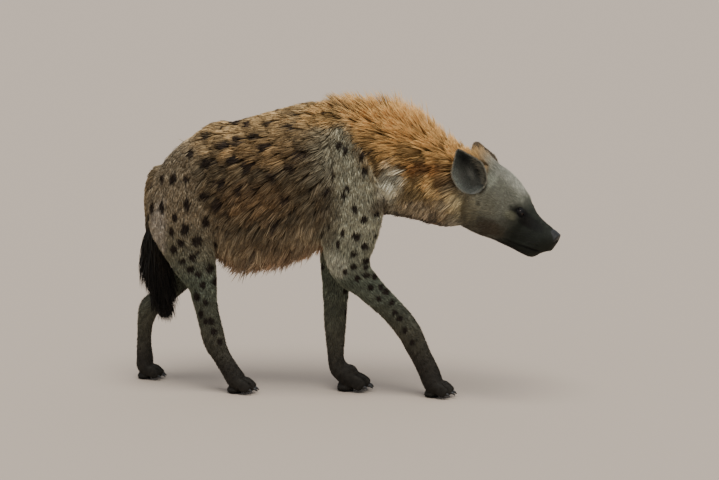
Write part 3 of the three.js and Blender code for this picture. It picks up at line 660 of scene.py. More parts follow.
class EarCup:
    """An ear, in shares of its length from the lowest point to the tip. The half-width is an oval of the
    share, the outer wall bulges as a half sine, and the hollow deepens over the lowest eighth."""

    def __init__(self, side):
        self.side = side
        self.low = in_head(*np.add(np.multiply(EAR_LOW, (1, side, 1)), EAR_LAID_BACK[side]))
        self.tip = in_head(*np.add(np.multiply(EAR_TIP, (1, side, 1)), EAR_LAID_BACK[side]))
        self.axis = unit(self.tip - self.low)
        facing = in_head(EAR_FACING[0], side * EAR_FACING[1], EAR_FACING[2]) - HEAD_AT
        self.facing = unit(facing - self.axis * (facing @ self.axis))
        self.across = np.cross(self.facing, self.axis)
        self.length = np.linalg.norm(self.tip - self.low)
        self.front = np.sign(self.across @ HEAD_AHEAD)

    def half(self, share):
        reach = np.where(share < EAR_WIDEST, EAR_WIDEST, 1 - EAR_WIDEST)
        oval = np.maximum(1 - (np.abs(share - EAR_WIDEST) / reach) ** 2.2, 0)
        return EAR_HALF * oval**0.5 * (1 - 0.5 * eased(share, 0.5, 1.0))

    def bulge(self, share):
        return 31 * (1 - share) ** 1.2 + 5

    def surface(self, share, turn, inside):
        """A point of the wall: the turn runs over half a circle from the one rim to the other."""
        share, turn = np.broadcast_arrays(share, turn)
        wide, bulge = self.half(share), self.bulge(share)
        if inside:
            cup = eased(share, -0.04, 0.13)
            forward = turn if self.front > 0 else math.pi - turn
            fold = 0
            for height, at, half, start, end in EAR_FOLDS:
                fold = fold + height * bell(forward - at, half) * eased(share, start, end)
            fold = fold * (1 - eased(share, 0.66, 0.9))
            deep = np.sin(turn) ** 0.85 * (EAR_WALL - bulge) * cup + fold
            u, v = np.cos(turn) * (wide - 1.2), deep
        else:
            u, v = np.cos(turn) * wide, -np.sin(turn) * bulge
        rim = 5.0 * (2 * share - 1) ** 2 - 2.5 + 3.0 * np.cos(turn) * self.front
        line = self.low + (self.tip - self.low) * share[..., None]
        return line + self.across * u[..., None] + self.facing * (v + rim)[..., None]

    def read(self, points):
        """The share, the sideways distance and the distance out of the opening's plane for each point."""
        off = points - self.low
        return off @ self.axis / self.length, off @ self.across, off @ self.facing


def ear_painted_light_and_shade(share, forward):
    """How light the ear is painted inside: dark in its upper hollow and before the middle fold, as painted
    shade in those recesses, and pale on that fold and along its front edge, as painted highlight on the
    ridges, and pale too along the hind edge and at the foot. Each is a bell curve over the share of the
    length and the place across."""
    painted_light = np.full(np.broadcast(share, forward).shape, 1.0)
    for at, beside, tall, wide, gain in EAR_LIGHT_AND_SHADE:
        painted_light = painted_light + gain * np.exp(-(((share - at) / tall) ** 2) - ((forward - beside) / wide) ** 2)
    return np.maximum(painted_light, 0.15)


ears = {}
ear_cups = {}
ear_rows = (1 - np.cos(np.linspace(0, math.pi, EAR_RINGS)))[:, None] / 2 * 0.996 + 0.002
ear_turns = np.linspace(0, math.pi, EAR_ROUND)[None, :]
for side, hand in ((RIGHT, "right"), (LEFT, "left")):
    cup = ear_cups[hand] = EarCup(side)
    walls = [cup.surface(ear_rows, ear_turns, True), cup.surface(ear_rows, ear_turns[:, ::-1], False)]
    ends = [walls[1][end].mean(0) for end in (0, -1)]
    ear_points, ear_faces = closed_over(np.concatenate(walls, 1), *ends)
    ears[hand] = mesh_object(f"ear_cup_{hand}", in_frame(ear_points), ear_faces)
    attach(ears[hand], "root")
    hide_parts(f"ear_{hand}")
    ear_share, ear_u, _ = cup.read(ear_points)
    # Painted shade in the ear's hollows and painted highlight on its fold and front edge, over its skin
    # colour
    shaded_ear_tone = ear_painted_light_and_shade(ear_share, ear_u * cup.front / EAR_HALF)[:, None] * np.array(EAR_SKIN)
    painted(ears[hand], shaded_ear_tone)

    # The skin is pressed back behind the ear's outer wall, so that the cup stands open
    skin_mm = in_mm(skin_points)
    share, u, v = cup.read(skin_mm)
    wide = cup.half(np.clip(share, 0, 1))
    wall = cup.bulge(np.clip(share, 0, 1)) * np.sqrt(np.maximum(1 - (u / np.maximum(wide, 1)) ** 2, 0))
    within = (share > 0.0) & (share < 1) & (np.abs(u) < wide) & (v > -wall - 4) & (v < 40)
    skin_mm[within] -= cup.facing * (v + wall + 4)[within, None]
    skin_points = in_frame(skin_mm)
skin_mesh.vertices.foreach_set("co", skin_points.ravel())
skin_mesh.update()

# Eyes: wet balls, nearly black, with a dark brown iris. Each is set in its socket and ringed by black lids,
# whose section runs from the ball over a low crest out to the skin and back under it.
LID_OPENING = (11.6, 3.5)
LID_WIDTH = (6.4, 9.0)
LID_STEPS = 72
# Of the lids' section: share of the way out from the slit, lift, and share of the height from ball to skin
LID_SECTION = [
    (0.0, -2.0, 0.0), (0.0, 0.3, 0.0), (0.08, 0.7, 0.1), (0.24, 0.7, 0.3), (0.5, 0.4, 0.55),
    (0.78, -0.3, 0.8), (1.0, -1.6, 1.0), (1.05, -3.2, 1.0), (0.5, -3.6, 0.55),
]
LID_CLEARANCE = 0.6
EYE_RINGS = 40
EYE_ROUND = 48


def eyeball(side):
    """A ball of rings about the axis out of the eye, with the cornea's cap raised a little over the iris."""
    out, along, _ = eye_axes(side)
    polar = np.linspace(0.03, math.pi - 0.03, EYE_RINGS)[::-1, None]
    turn = np.arange(EYE_ROUND)[None, :] * 2 * math.pi / EYE_ROUND
    radius = (EYE_RADIUS - 0.3) * (1 + 0.05 * np.exp(-((polar / 0.5) ** 4)))
    round_axis = np.cos(turn)[..., None] * along + np.sin(turn)[..., None] * np.cross(out, along)
    outward = np.cos(polar)[..., None] * out + np.sin(polar)[..., None] * round_axis
    ball = eye_centre(side) + radius[..., None] * outward
    poles = [eye_centre(side) - out * EYE_RADIUS, eye_centre(side) + out * EYE_RADIUS * 1.03]
    return closed_over(ball, *poles), out


skin_tree = BVHTree.FromPolygons(skin_points.tolist(), skin_quads.tolist())


def height_on_skin(point, out):
    """How far out along that axis the skin lies from the point, both in millimetres."""
    hit = skin_tree.ray_cast(Vector(in_frame(point + out * 40)), Vector(-out), 0.08)[0]
    return 0.0 if hit is None else float((in_mm(hit) - point) @ out)


def lid_ring(side):
    """A closed ring round the slit. The slit is an oval drawn to a point at its corners, by the 1.3 power
    of the sine, and the section's height rises from the ball to a crest and falls to the skin."""
    out, along, across = eye_axes(side)
    turn = np.arange(LID_STEPS) * 2 * math.pi / LID_STEPS
    tall = np.sign(np.sin(turn)) * np.abs(np.sin(turn)) ** 1.3
    upper = np.sin(turn) > 0
    inner = np.stack([np.cos(turn) * LID_OPENING[0], tall * LID_OPENING[1] * np.where(upper, 0.95, 0.85)], -1)
    outer = np.stack([np.cos(turn), np.sin(turn)], -1) * np.add(LID_OPENING, LID_WIDTH)
    on_ball = np.sqrt(np.maximum(EYE_RADIUS**2 - (inner**2).sum(1), 6.0))
    centre = eye_centre(side)
    flat = centre + outer[:, :1] * along + outer[:, 1:] * across
    on_skin = np.array([height_on_skin(point, out) for point in flat])
    grid = []
    for share, lift, height in LID_SECTION:
        spot = inner + (outer - inner) * share
        level = on_ball + (on_skin - on_ball) * height + lift * np.where(upper & (lift > 0), 1.25, 1.0)
        over_ball = np.sqrt(np.maximum(EYE_RADIUS**2 - (spot**2).sum(1), 0))
        level = np.maximum(level, over_ball + LID_CLEARANCE) if lift > -1 else level
        grid.append(centre + spot[:, :1] * along + spot[:, 1:] * across + level[:, None] * out)
    grid = np.array(grid)
    rows, steps = grid.shape[:2]
    i, j = np.meshgrid(np.arange(rows), np.arange(steps), indexing="ij")
    after_i, after_j = (i + 1) % rows, (j + 1) % steps
    quads = np.stack([i * steps + j, i * steps + after_j, after_i * steps + after_j, after_i * steps + j], -1)
    quads = quads.reshape(-1, 4)
    if np.cross(along, across) @ out > 0:
        quads = quads[:, ::-1]
    return grid.reshape(-1, 3), quads.tolist()


IRIS = (0.56, (0.018, 0.009, 0.005))
PUPIL = (0.3, (0.004, 0.004, 0.004))
EYE_WHITE = (0.012, 0.008, 0.006)
eyes = {}
lids = {}
for side, hand in ((RIGHT, "right"), (LEFT, "left")):
    (ball_points, ball_faces), out = eyeball(side)
    eyes[hand] = mesh_object(f"eyeball_{hand}", in_frame(ball_points), ball_faces)
    angle = np.arccos(np.clip(unit(ball_points - eye_centre(side)) @ out, -1, 1))
    iris = 1 - eased(angle, IRIS[0] - 0.05, IRIS[0] + 0.05)
    pupil = 1 - eased(angle, PUPIL[0] - 0.04, PUPIL[0] + 0.04)
    ball_tone = np.array(EYE_WHITE) + (np.array(IRIS[1]) - EYE_WHITE) * iris[:, None]
    painted(eyes[hand], ball_tone + (np.array(PUPIL[1]) - ball_tone) * pupil[:, None])
    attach(eyes[hand], "root")
    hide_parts(f"eye_{hand}")
    lid_points, lid_faces = lid_ring(side)
    lids[hand] = mesh_object(f"lids_{hand}", in_frame(lid_points), lid_faces)
    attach(lids[hand], "root")

# Nose pad: bare, black, pebbled and moist, a blunt plug at the tip of the muzzle, with a round nostril on
# each side that runs out into a slit, and a groove down the middle.
NOSE_STATIONS = [(187, 4, 19, 16, 10), (203, 9, 26, 22, 18), (226, 8, 26, 22, 18)]
NOSTRIL = [(238, 10, 10), (224, 11, 9), (213, 12, 8)]
NOSTRIL_SLIT = [(234, 11, 7), (231, 20, 2), (222, 30, -2)]
nose_rows = [[*in_head(a, 0, h), wide, top, under, 2.3, 2.2] for a, h, wide, top, under in NOSE_STATIONS]
nose_form = BodyForm(nose_rows, HEAD_AHEAD, HEAD_AXES)


def nose_shell():
    """The pad's rings with a fine dome in front, pressed back near the nostrils and the middle groove."""
    places = np.linspace(0, 2, 17)[:, None]
    angles = np.arange(64)[None, :] * 2 * math.pi / 64
    turns = np.radians(np.linspace(4, 87, 22))
    rings = nose_form.point(places, angles)
    front = nose_form.point(
        np.full((22, 1), 2.0), angles, 0.0, np.cos(turns)[:, None], np.sin(turns)[:, None, None] * 6.5
    )
    points, faces = closed_over(np.concatenate([rings, front]), in_head(184, 0, 4), in_head(232.5, 0, 8))
    ahead, left, up = head_reading(points)
    pressed = 1.6 * bell(left, 1.5) * eased(ahead, 214, 226) * (1 - eased(up, 8, 20))
    for side in (RIGHT, LEFT):
        for line, depth, half in ((NOSTRIL, 9.0, 4.4), (NOSTRIL_SLIT, 3.6, 2.3)):
            route = through(np.array([in_head(a, side * o, u) for a, o, u in line]), np.linspace(0, 2, 25))
            near, _ = distance_to(points, route)
            pressed = np.maximum(pressed, depth * bell(near, half))
    return points - HEAD_AHEAD * pressed[:, None], faces


nose_points, nose_faces = nose_shell()
nose_pad = mesh_object("nose_pad", in_frame(nose_points), nose_faces)
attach(nose_pad, "root")
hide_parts("nose")

# Claws: sixteen blunt horn claws, one curving down and forward from each toe.
CLAW_SIDES = 14
claw_shells = []
for _, _, _, foot in LEGS.values():
    for toe in TOES:
        claw_shells.append(toe_form(foot, toe, CLAW_ROWS).shell(CLAW_SIDES, 4, (1, 1.5), ([0, 3], [0, 0])))
claw_points, claw_faces = joined(claw_shells)
claws = mesh_object("claws", in_frame(claw_points), claw_faces)
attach(claws, "root")

# The markings: dark brown spots on a yellowish brown ground. Those of the near side are placed where the
# camera sees them, with their width and height, all as pixels of the 719 by 480 picture. The far side has
# the same spots, shifted a little, and a few more lie where neither side shows.
SPOT_PIXELS = [
    (190, 154, 8, 8), (205, 137, 7, 7), (214, 123, 9, 6), (237, 123, 12, 5), (247, 125, 8, 6),
    (236, 141, 8, 8), (263, 148, 8, 7), (207, 164, 10, 7), (233, 160, 8, 8), (245, 168, 12, 8),
    (272, 178, 12, 10), (220, 184, 11, 8), (173, 180, 7, 11), (162, 180, 5, 9), (186, 180, 6, 8),
    (240, 192, 8, 7), (253, 190, 7, 6), (300, 155, 12, 9), (273, 225, 8, 12), (152, 178, 6, 12),
    (152, 208, 5, 12), (162, 208, 5, 12), (187, 205, 6, 12), (175, 218, 5, 9), (185, 230, 8, 13),
    (197, 242, 8, 8), (181, 243, 7, 8), (174, 250, 8, 8), (193, 258, 8, 8), (198, 253, 4, 4),
    (183, 262, 7, 7), (191, 270, 8, 8), (210, 269, 8, 8), (198, 275, 6, 6), (203, 286, 6, 7),
    (197, 297, 7, 9), (201, 315, 6, 8), (206, 303, 5, 6), (211, 322, 7, 7), (339, 146, 7, 7),
    (346, 152, 5, 8), (362, 157, 5, 8), (365, 172, 6, 9), (376, 172, 6, 8), (333, 175, 5, 7),
    (347, 190, 6, 7), (344, 196, 5, 6), (327, 192, 5, 7), (355, 210, 6, 8), (364, 220, 6, 7),
    (329, 227, 3, 8), (343, 234, 4, 8), (356, 237, 8, 8), (338, 245, 4, 9), (365, 247, 7, 6),
    (354, 255, 7, 6), (366, 261, 6, 6), (354, 267, 6, 6), (366, 268, 5, 5), (345, 272, 5, 6),
    (358, 279, 6, 6), (367, 276, 7, 6), (375, 277, 5, 6), (381, 287, 5, 5), (379, 299, 5, 5),
    (392, 303, 5, 6), (395, 313, 6, 6), (386, 292, 6, 6), (400, 319, 6, 6), (405, 331, 5, 7),
    (412, 343, 5, 6), (371, 288, 6, 6), (214, 332, 6, 7), (206, 322, 5, 6), (220, 342, 5, 6),
    (478, 203, 3, 4), (222, 146, 8, 6), (254, 137, 9, 5), (286, 128, 10, 5), (290, 168, 9, 7),
    (205, 196, 7, 8), (217, 205, 6, 9), (229, 214, 7, 9), (206, 222, 6, 9), (172, 232, 5, 10),
    (285, 200, 9, 8),
]
PIXEL_MM = 2.83
SPOT_DEPTH = 26.0
FLANK_PIXELS = range(196, 326)  # where the hair is long, and its tips blur the spots
LONG_HAIR_GROWTH = 1.5
SHORT_HAIR_GROWTH = 1.15
FAR_SHIFT = 9.0
MORE_SPOTS = 90
MORE_SPOT_RADIUS = (9.0, 14.0)
SPOT_APART = 34.0
SPOT_TRIES = 6000
SPOT_STRENGTH = 0.97
LONG_HAIR_SPOT = 0.95  # how much of a spot shows in the flank's long hair
seeded = np.random.default_rng(7411)


def nearest_form(points):
    """Each point's place, angle and distance on every form, as three arrays."""
    reads = [form.read(points) for form in FORMS.values()]
    return [np.stack([read[k] for read in reads], 1) for k in range(3)]


FORM_NAMES = list(FORMS)
FAR_LEG = {"fore_right": "fore_left", "hind_right": "hind_left"}
spots = []
for pixel_x, pixel_y, wide, tall in SPOT_PIXELS:
    hit = skin_tree.ray_cast(Vector(camera_at), Vector(sight(pixel_x, pixel_y)))[0]
    if hit is None:
        continue
    centre = in_mm(hit)
    grown = LONG_HAIR_GROWTH if pixel_x in FLANK_PIXELS and pixel_y < 250 else SHORT_HAIR_GROWTH
    radii = (wide * PIXEL_MM / 2 * grown, SPOT_DEPTH, tall * PIXEL_MM / 2 * grown)
    spots.append((centre, radii))
    place, angle, out = nearest_form(centre[None])
    name = FORM_NAMES[int(out[0].argmin())]
    if name in FAR_LEG:
        k = FORM_NAMES.index(name)
        far = FORMS[FAR_LEG[name]]
        share = place[0, k] / FORMS[name].last * far.last
        mirrored = far.point(np.array([share]), math.pi - angle[0, k])[0]
    else:
        mirrored = centre * [1, -1, 1]
    mirrored = mirrored + seeded.normal(0, FAR_SHIFT, 3) * [1, 0.2, 1]
    spots.append((mirrored, tuple(np.multiply(radii, seeded.uniform(0.8, 1.15, 3)))))
candidates = seeded.permutation(len(skin_points))
for index in candidates[:SPOT_TRIES]:
    if len(spots) >= 2 * len(SPOT_PIXELS) + MORE_SPOTS:
        break
    centre = in_mm(skin_points[index])
    x, _, z = centre
    if x > 230 or z < 190 or abs(skin_normals[index, 1]) > 0.75:
        continue
    if min(np.linalg.norm(centre - other) for other, _ in spots) > SPOT_APART:
        radius = seeded.uniform(*MORE_SPOT_RADIUS)
        spots.append((centre, (radius, radius, radius)))


def ripple(points, wavelength, seed):
    """A soft noise between about -1 and 1: the mean of eight seeded sine waves in different directions."""
    source = np.random.default_rng(seed)
    waves = unit(source.normal(size=(8, 3))) * source.uniform(0.7, 1.5, (8, 1)) * 2 * math.pi / wavelength
    return np.sin(points @ waves.T + source.uniform(0, 2 * math.pi, 8)).mean(1) * 1.6


def spot_share(points):
    """How dark a spot makes each point: one inside a spot's ragged oval and nought outside it."""
    share = np.zeros(len(points))
    ragged = 0.2 * ripple(points, 14, 31) + 0.12 * ripple(points, 6, 32)
    for centre, radii in spots:
        near = np.nonzero(np.abs(points - centre).max(1) < 2 * max(radii))[0]
        far = np.linalg.norm((points[near] - centre) / radii, axis=1) + ragged[near]
        share[near] = np.maximum(share[near], 1 - eased(far, 0.7, 1.2))
    return share


def tone(code):
    """A colour written as six hexadecimal digits, as linear light."""
    levels = np.array([int(code[k:k + 2], 16) / 255 for k in (0, 2, 4)])
    return np.where(levels <= 0.04045, levels / 12.92, ((levels + 0.055) / 1.055) ** 2.4)


SPOT_TONE = tone("241a14")
BACK_TONE = tone("ab8f64")
FLANK_TONE = tone("5b4e39")
LOW_FLANK_TONE = tone("8d7e65")
BELLY_TONE = tone("b19275")
HAUNCH_TONE = tone("8e8068")
SHOULDER_TONE = tone("aead96")
FORELEG_TONE = tone("697060")
SHANK_TONE = tone("5a584a")
FOOT_TONE = tone("3a362f")
MANE_TONE = tone("d7ab6b")
NECK_TONE = tone("9e865c")
LOW_NECK_TONE = tone("908779")
THROAT_TONE = tone("5c4936")
FACE_TONE = tone("7c7b6c")
CHEEK_TONE = tone("8a8673")
MUZZLE_TONE = tone("2a2d25")
TAIL_TONE = tone("7d6c50")
BRUSH_TONE = tone("120f0c")

# Patches over the ground colour, alike on both sides: centre, radii, colour and strength
PATCHES = [
    ((268, 88, 600), (34, 60, 66), tone("d2cfba"), 0.9),
    ((236, 88, 545), (34, 60, 26), tone("4a3a28"), 0.7),
    ((330, 60, 506), (90, 60, 22), tone("4a3928"), 0.75),
    ((330, 90, 560), (70, 60, 40), tone("a08b62"), 0.6),
    ((410, 90, 560), (44, 60, 44), tone("a6885a"), 0.7),
    ((360, 90, 660), (60, 60, 26), tone("6e4a22"), 0.6),
    ((205, 95, 690), (40, 60, 40), tone("5f4a2c"), 0.55),
    ((112, 100, 380), (40, 60, 40), tone("c4c4b0"), 0.8),
    ((90, 130, 520), (40, 60, 120), tone("4d3a24"), 0.55),
    ((-60, 130, 420), (120, 60, 30), tone("5b4630"), 0.5),
    ((-120, 130, 560), (110, 60, 60), tone("73573a"), 0.4),
    ((-110, 110, 690), (120, 70, 44), tone("8e7048"), 0.45),
    ((70, 40, 790), (70, 60, 40), tone("bf9a62"), 0.75),
    ((423, 90, 623), (30, 50, 20), tone("553a22"), 0.65),
    ((367, 90, 656), (50, 50, 22), tone("6b4424"), 0.6),
    ((437, 85, 562), (46, 50, 30), tone("9f9270"), 0.55),
    ((352, 80, 541), (70, 60, 30), tone("a3957e"), 0.7),
    ((-388, 75, 480), (28, 80, 80), tone("b8ae9f"), 0.75),
]
HEAD_PATCHES = [
    ((108, 46, 30), (34, 26, 12), tone("0c0b0a"), 0.95),
    ((150, 36, 20), (40, 26, 16), tone("141411"), 0.85),
    ((138, 42, 18), (22, 24, 14), tone("1c1a16"), 0.75),
    ((92, 56, 12), (18, 24, 12), tone("8d8b70"), 0.5),
    ((98, 40, 58), (26, 22, 10), tone("8f9080"), 0.4),
    ((20, 78, 0), (40, 30, 34), tone("87826a"), 0.5),
    ((-26, 80, -56), (54, 40, 50), tone("9b906e"), 0.85),
    ((-4, 70, 62), (24, 40, 20), tone("b4b6a4"), 0.7),
    ((30, 60, -92), (120, 60, 20), tone("44372a"), 0.7),
    ((64, 66, -50), (44, 30, 30), tone("4d3f2e"), 0.75),
    ((150, 40, -78), (60, 40, 18), tone("191713"), 0.8),
    ((30, 0, 82), (80, 46, 28), tone("a6a598"), 0.65),
]


def mixed(ground, other, share):
    """The ground turned towards the other colour by that share."""
    return ground + (other - ground) * np.asarray(share)[:, None]


FORM_BLEND = 13.0  # millimetres over which one form's coat passes into the next


def body_reading(points):
    """Per point: each form's share, from its distance; the trunk's and neck's angle up from level in
    degrees; the places on the forms; and the distances along the head's axes."""
    place, angle, out = nearest_form(points)
    share = np.exp(-(out - out.min(1, keepdims=True)) / FORM_BLEND)
    share /= share.sum(1, keepdims=True)
    rise = np.degrees(np.arcsin(np.clip(np.sin(angle), -1, 1)))
    return {"place": place, "angle": angle, "share": share, "rise": rise, "head": head_reading(points)}


def by_rise(rise, stops, tones):
    """A colour that runs through the tones at those angles up from level."""
    table = np.array(tones)
    return np.stack([np.interp(rise, stops, table[:, channel]) for channel in range(3)], -1)


STREAK_ALONG = unit(np.array([-0.72, 0.0, -0.7]))
STREAK_ACROSS = np.cross(STREAK_ALONG, [0, 1, 0])
STREAK_STRETCH = 3.2


def coat_tone(points, reading):
    """The coat's colour in linear light: each form's ground by its share, the patches, and the spots over
    all."""
    share, rise, place = reading["share"], reading["rise"], reading["place"]
    x = points[:, 0]
    trunk = by_rise(rise[:, 0], [-80, -45, -10, 30, 60, 85],
                    [BELLY_TONE, LOW_FLANK_TONE, FLANK_TONE, FLANK_TONE * 1.1, BACK_TONE * 0.9, BACK_TONE])
    trunk = mixed(trunk, HAUNCH_TONE, 1 - eased(x, -360, -250))
    trunk = mixed(trunk, MANE_TONE * 0.75, eased(x, 60, 190) * eased(rise[:, 0], 40, 75))
    neck = by_rise(rise[:, 1], [-80, -50, 0, 30, 55, 85],
                   [THROAT_TONE, LOW_NECK_TONE, NECK_TONE, MANE_TONE * 0.58, MANE_TONE, MANE_TONE * 1.25])
    neck = mixed(neck, CHEEK_TONE, 0.7 * eased(place[:, 1], 3.5, 4.9) * (1 - eased(rise[:, 1], 10, 45)))
    ahead, left, up = reading["head"]
    cheek = (1 - eased(ahead, -40, 60)) * (1 - eased(up, -10, 40))
    head = mixed(np.broadcast_to(FACE_TONE, points.shape), CHEEK_TONE, cheek)
    head = mixed(head, MANE_TONE * 0.6, (1 - eased(ahead, -60, -10)) * eased(up, 20, 70))
    head = mixed(head, MUZZLE_TONE, eased(ahead, 64, 132))
    tail = mixed(np.broadcast_to(TAIL_TONE, points.shape), BRUSH_TONE, eased(place[:, 3], 3.2, 4.6))
    grounds = [trunk, neck, head, tail]
    for k, name in enumerate(LEGS):
        at = place[:, 4 + k]
        elbow, wrist = LEGS[name][1:3]
        top = SHOULDER_TONE if name.startswith("fore") else HAUNCH_TONE
        tones = [top, top, FORELEG_TONE, SHANK_TONE, FOOT_TONE, FOOT_TONE * 0.7]
        grounds.append(by_rise(at, [0, elbow - 3, elbow, wrist - 2, wrist + 0.5, wrist + 3], tones))
    colour = sum(ground * share[:, k:k + 1] for k, ground in enumerate(grounds))
    beside = points * [1, 0, 1] + np.abs(points) * [0, 1, 0]
    for centre, radii, patch, strength in PATCHES:
        far = np.linalg.norm((beside - centre) / radii, axis=1) + 0.25 * ripple(points, 40, 51)
        colour = mixed(colour, patch, strength * (1 - eased(far, 0.55, 1.35)))
    in_axes = np.stack([ahead, np.abs(left), up], -1)
    for centre, radii, patch, strength in HEAD_PATCHES:
        far = np.linalg.norm((in_axes - centre) / radii, axis=1) + 0.15 * ripple(points, 16, 52)
        colour = mixed(colour, patch, strength * (1 - eased(far, 0.55, 1.35)) * share[:, 2])
    drawn = np.stack([points @ STREAK_ALONG / STREAK_STRETCH, points @ STREAK_ACROSS, points[:, 1]], -1)
    streaks = 0.3 * ripple(drawn, 15, 55) * (1 - 0.6 * share[:, 2])
    colour = colour * np.exp(0.12 * ripple(points, 60, 53) + 0.08 * ripple(points, 23, 54) + streaks)[:, None]
    shaggy = share[:, 0] * eased(x, -330, -230) * (1 - eased(rise[:, 0], 55, 80))
    on_neck = 0.9 * eased(x, 225, 260) * (1 - share[:, 2] - share[:, 4:].sum(1))
    strength = SPOT_STRENGTH * (1 - shaggy * (1 - LONG_HAIR_SPOT)) * (1 - on_neck)
    strength = strength * (1 - share[:, 3]) * (1 - share[:, 2] * 0.4)
    return mixed(np.maximum(colour, 0), SPOT_TONE, spot_share(points) * strength)


# The skin under the coat has the same markings, darkened as painted shade under the hair, as the tufts' roots
# are. Lips, the mouth line and the soles are black.
SHADE_UNDER_COAT = 0.62
skin_mm = in_mm(skin_points)
skin_reading = body_reading(skin_mm)
skin_tone = coat_tone(skin_mm, skin_reading) * SHADE_UNDER_COAT
bare_lip = np.zeros(len(skin_mm))
for side in (RIGHT, LEFT):
    near, _ = distance_to(skin_mm[on_head], mouth_line(side))
    bare_lip[on_head] = np.maximum(bare_lip[on_head], 1 - eased(near, 2.5, 6))
sole = (1 - eased(skin_mm[:, 2], 4, 16)) * eased(-skin_normals[:, 2], -0.1, 0.5)
skin_tone = mixed(skin_tone, tone("0d0c0b"), np.maximum(bare_lip, sole))
painted(skin, skin_tone)
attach(skin, "root")
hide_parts(*[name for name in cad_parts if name.split("_")[0] not in ("nose", "ear", "eye")])

# The coat: tufts of hair rooted all over the skin, each a thin spindle of three sides that lies along the
# body, rises a little from its root and ends in a point. Long hair is drawn together into wisps at its
# tips.
SECTION = ((0.5, 0.15), (-0.5, 0.15), (0.0, -0.35))
LONG_HAIR = ((0.0, 0.7), (0.36, 1.0), (0.74, 0.6))  # share of the length, and of the width
SHORT_HAIR = ((0.0, 0.85), (0.52, 0.85))
STUBBLE = ((0.0, 1.0),)
# Each tuft's colour along its length: darkened towards the root as painted shade under the hair that lies
# over it, and lightened towards the tip as painted light where the tips catch the lamp
ROOT_SHADE_TIP_LIGHT = ([0.0, 0.36, 0.74, 1.0], [0.62, 0.9, 1.05, 1.22])
ROOT_SINK = 1.2
LOWEST_HAIR = 0.6
BAKE_PATCH = 0.003

# By form, in the order trunk, neck, head, tail, legs: tufts on a square metre, and the width of one
CROWD = [76000, 84000, 300000, 120000] + [100000] * 4
TUFT_WIDTH = [2.9, 2.7, 1.5, 3.0] + [2.2] * 4
TRUNK_RISE = [-90, -60, -30, 0, 35, 60, 90]
TRUNK_LENGTH = [46, 60, 56, 52, 44, 38, 36]
TRUNK_DROOP = [40, 78, 64, 46, 20, 8, 0]
TRUNK_LIFT = [56, 30, 18, 15, 13, 12, 13]
ALONG_BACK = [-390, -320, -230, -140, 60, 150, 240]
ALONG_LENGTH = [0.46, 0.5, 0.75, 1.0, 1.0, 0.9, 0.9]
NECK_RISE = [-90, -50, -20, 10, 40, 65, 90]
NECK_LENGTH = [20, 30, 40, 50, 62, 84, 99]
NECK_DROOP = [10, 60, 62, 52, 30, 10, 0]
NECK_LIFT = [16, 16, 14, 15, 24, 42, 56]
HEAD_ALONG = [-78, -40, 0, 40, 80, 112, 150, 226]
HEAD_LENGTH = [32, 25, 15, 11, 8.5, 7, 5.5, 4]
LEG_LENGTH = [26, 16, 11, 9, 6]  # from the top of the leg down to its foot
BRUSH_SPAN = (194, 28, 112)  # the height of the brush's tips, and its shortest and longest hair
WISP_PULL = [0.62, 0.5, 0.0, 0.3] + [0.15] * 4
WISP_ALONG = (-0.78, 0.0, -0.62)
WISP_SIZE = (52.0, 17.0, 26.0)  # along the flank's lie, across it, and through the body
MANE_WISP = (22.0, 24.0, 26.0)
FRINGE_SHARE = 0.22  # of the belly's tufts, those that hang lower than the rest
FRINGE_GAIN = 0.45
CREST_TOP = 882.0  # the mane's highest tips
TONE_AT = 0.66  # the share of a tuft's length at which its colour is read from the markings
WISP_UNEVEN = (0.24, 0.36)  # how far wisps differ in brightness on the trunk and on the neck
TUFT_UNEVEN = 0.27
PALEST = 0.82  # the brightest channel of the palest hair, in linear light
BRUSH_FROM = 4.6  # the place on the tail's line where the long hair begins


def rooted(points, quads, crowd, source):
    """Roots spread evenly over squares by their area and crowding: each square's share of the running total
    gives its count, and a root lies anywhere in its square. Gives the points and the squares they lie
    in."""
    corners = points[quads]
    crossed = np.cross(corners[:, 2] - corners[:, 0], corners[:, 3] - corners[:, 1])
    area = 0.5 * np.linalg.norm(crossed, axis=1)
    running = np.floor(np.cumsum(area * MM * MM * crowd) + source.uniform())
    counts = np.diff(running, prepend=0).astype(int)
    square = np.repeat(np.arange(len(quads)), counts)
    across, down = source.uniform(size=(2, len(square), 1))
    a, b, c, d = (corners[square, k] for k in range(4))
    return (a * (1 - across) + b * across) * (1 - down) + (d * (1 - across) + c * across) * down, square


def wisp_of(points, form):
    """The number of the wisp that each point belongs to: the cells of a warped lattice, longer along the
    lie on the trunk, renumbered from nought."""
    warped = points + 9 * np.stack([ripple(points, 60, seed) for seed in (61, 62, 63)], -1)
    along = unit(np.array(WISP_ALONG))
    turned = np.stack([warped @ along, warped @ np.cross(along, [0, 1, 0]), warped[:, 1]], -1)
    size = np.where((form == 0)[:, None], WISP_SIZE, MANE_WISP)
    cells = np.floor(turned / size).astype(np.int64)
    keys = cells @ np.array([1, 4099, 16785409]) * 9 + form
    return np.unique(keys, return_inverse=True)[1]


def drawn_together(tips, wisp, pull):
    """The tips moved towards the mean tip of their wisp by the pull."""
    number = np.bincount(wisp)
    mean = np.stack([np.bincount(wisp, tips[:, axis]) / number for axis in range(3)], -1)
    return tips + (mean[wisp] - tips) * pull[:, None]


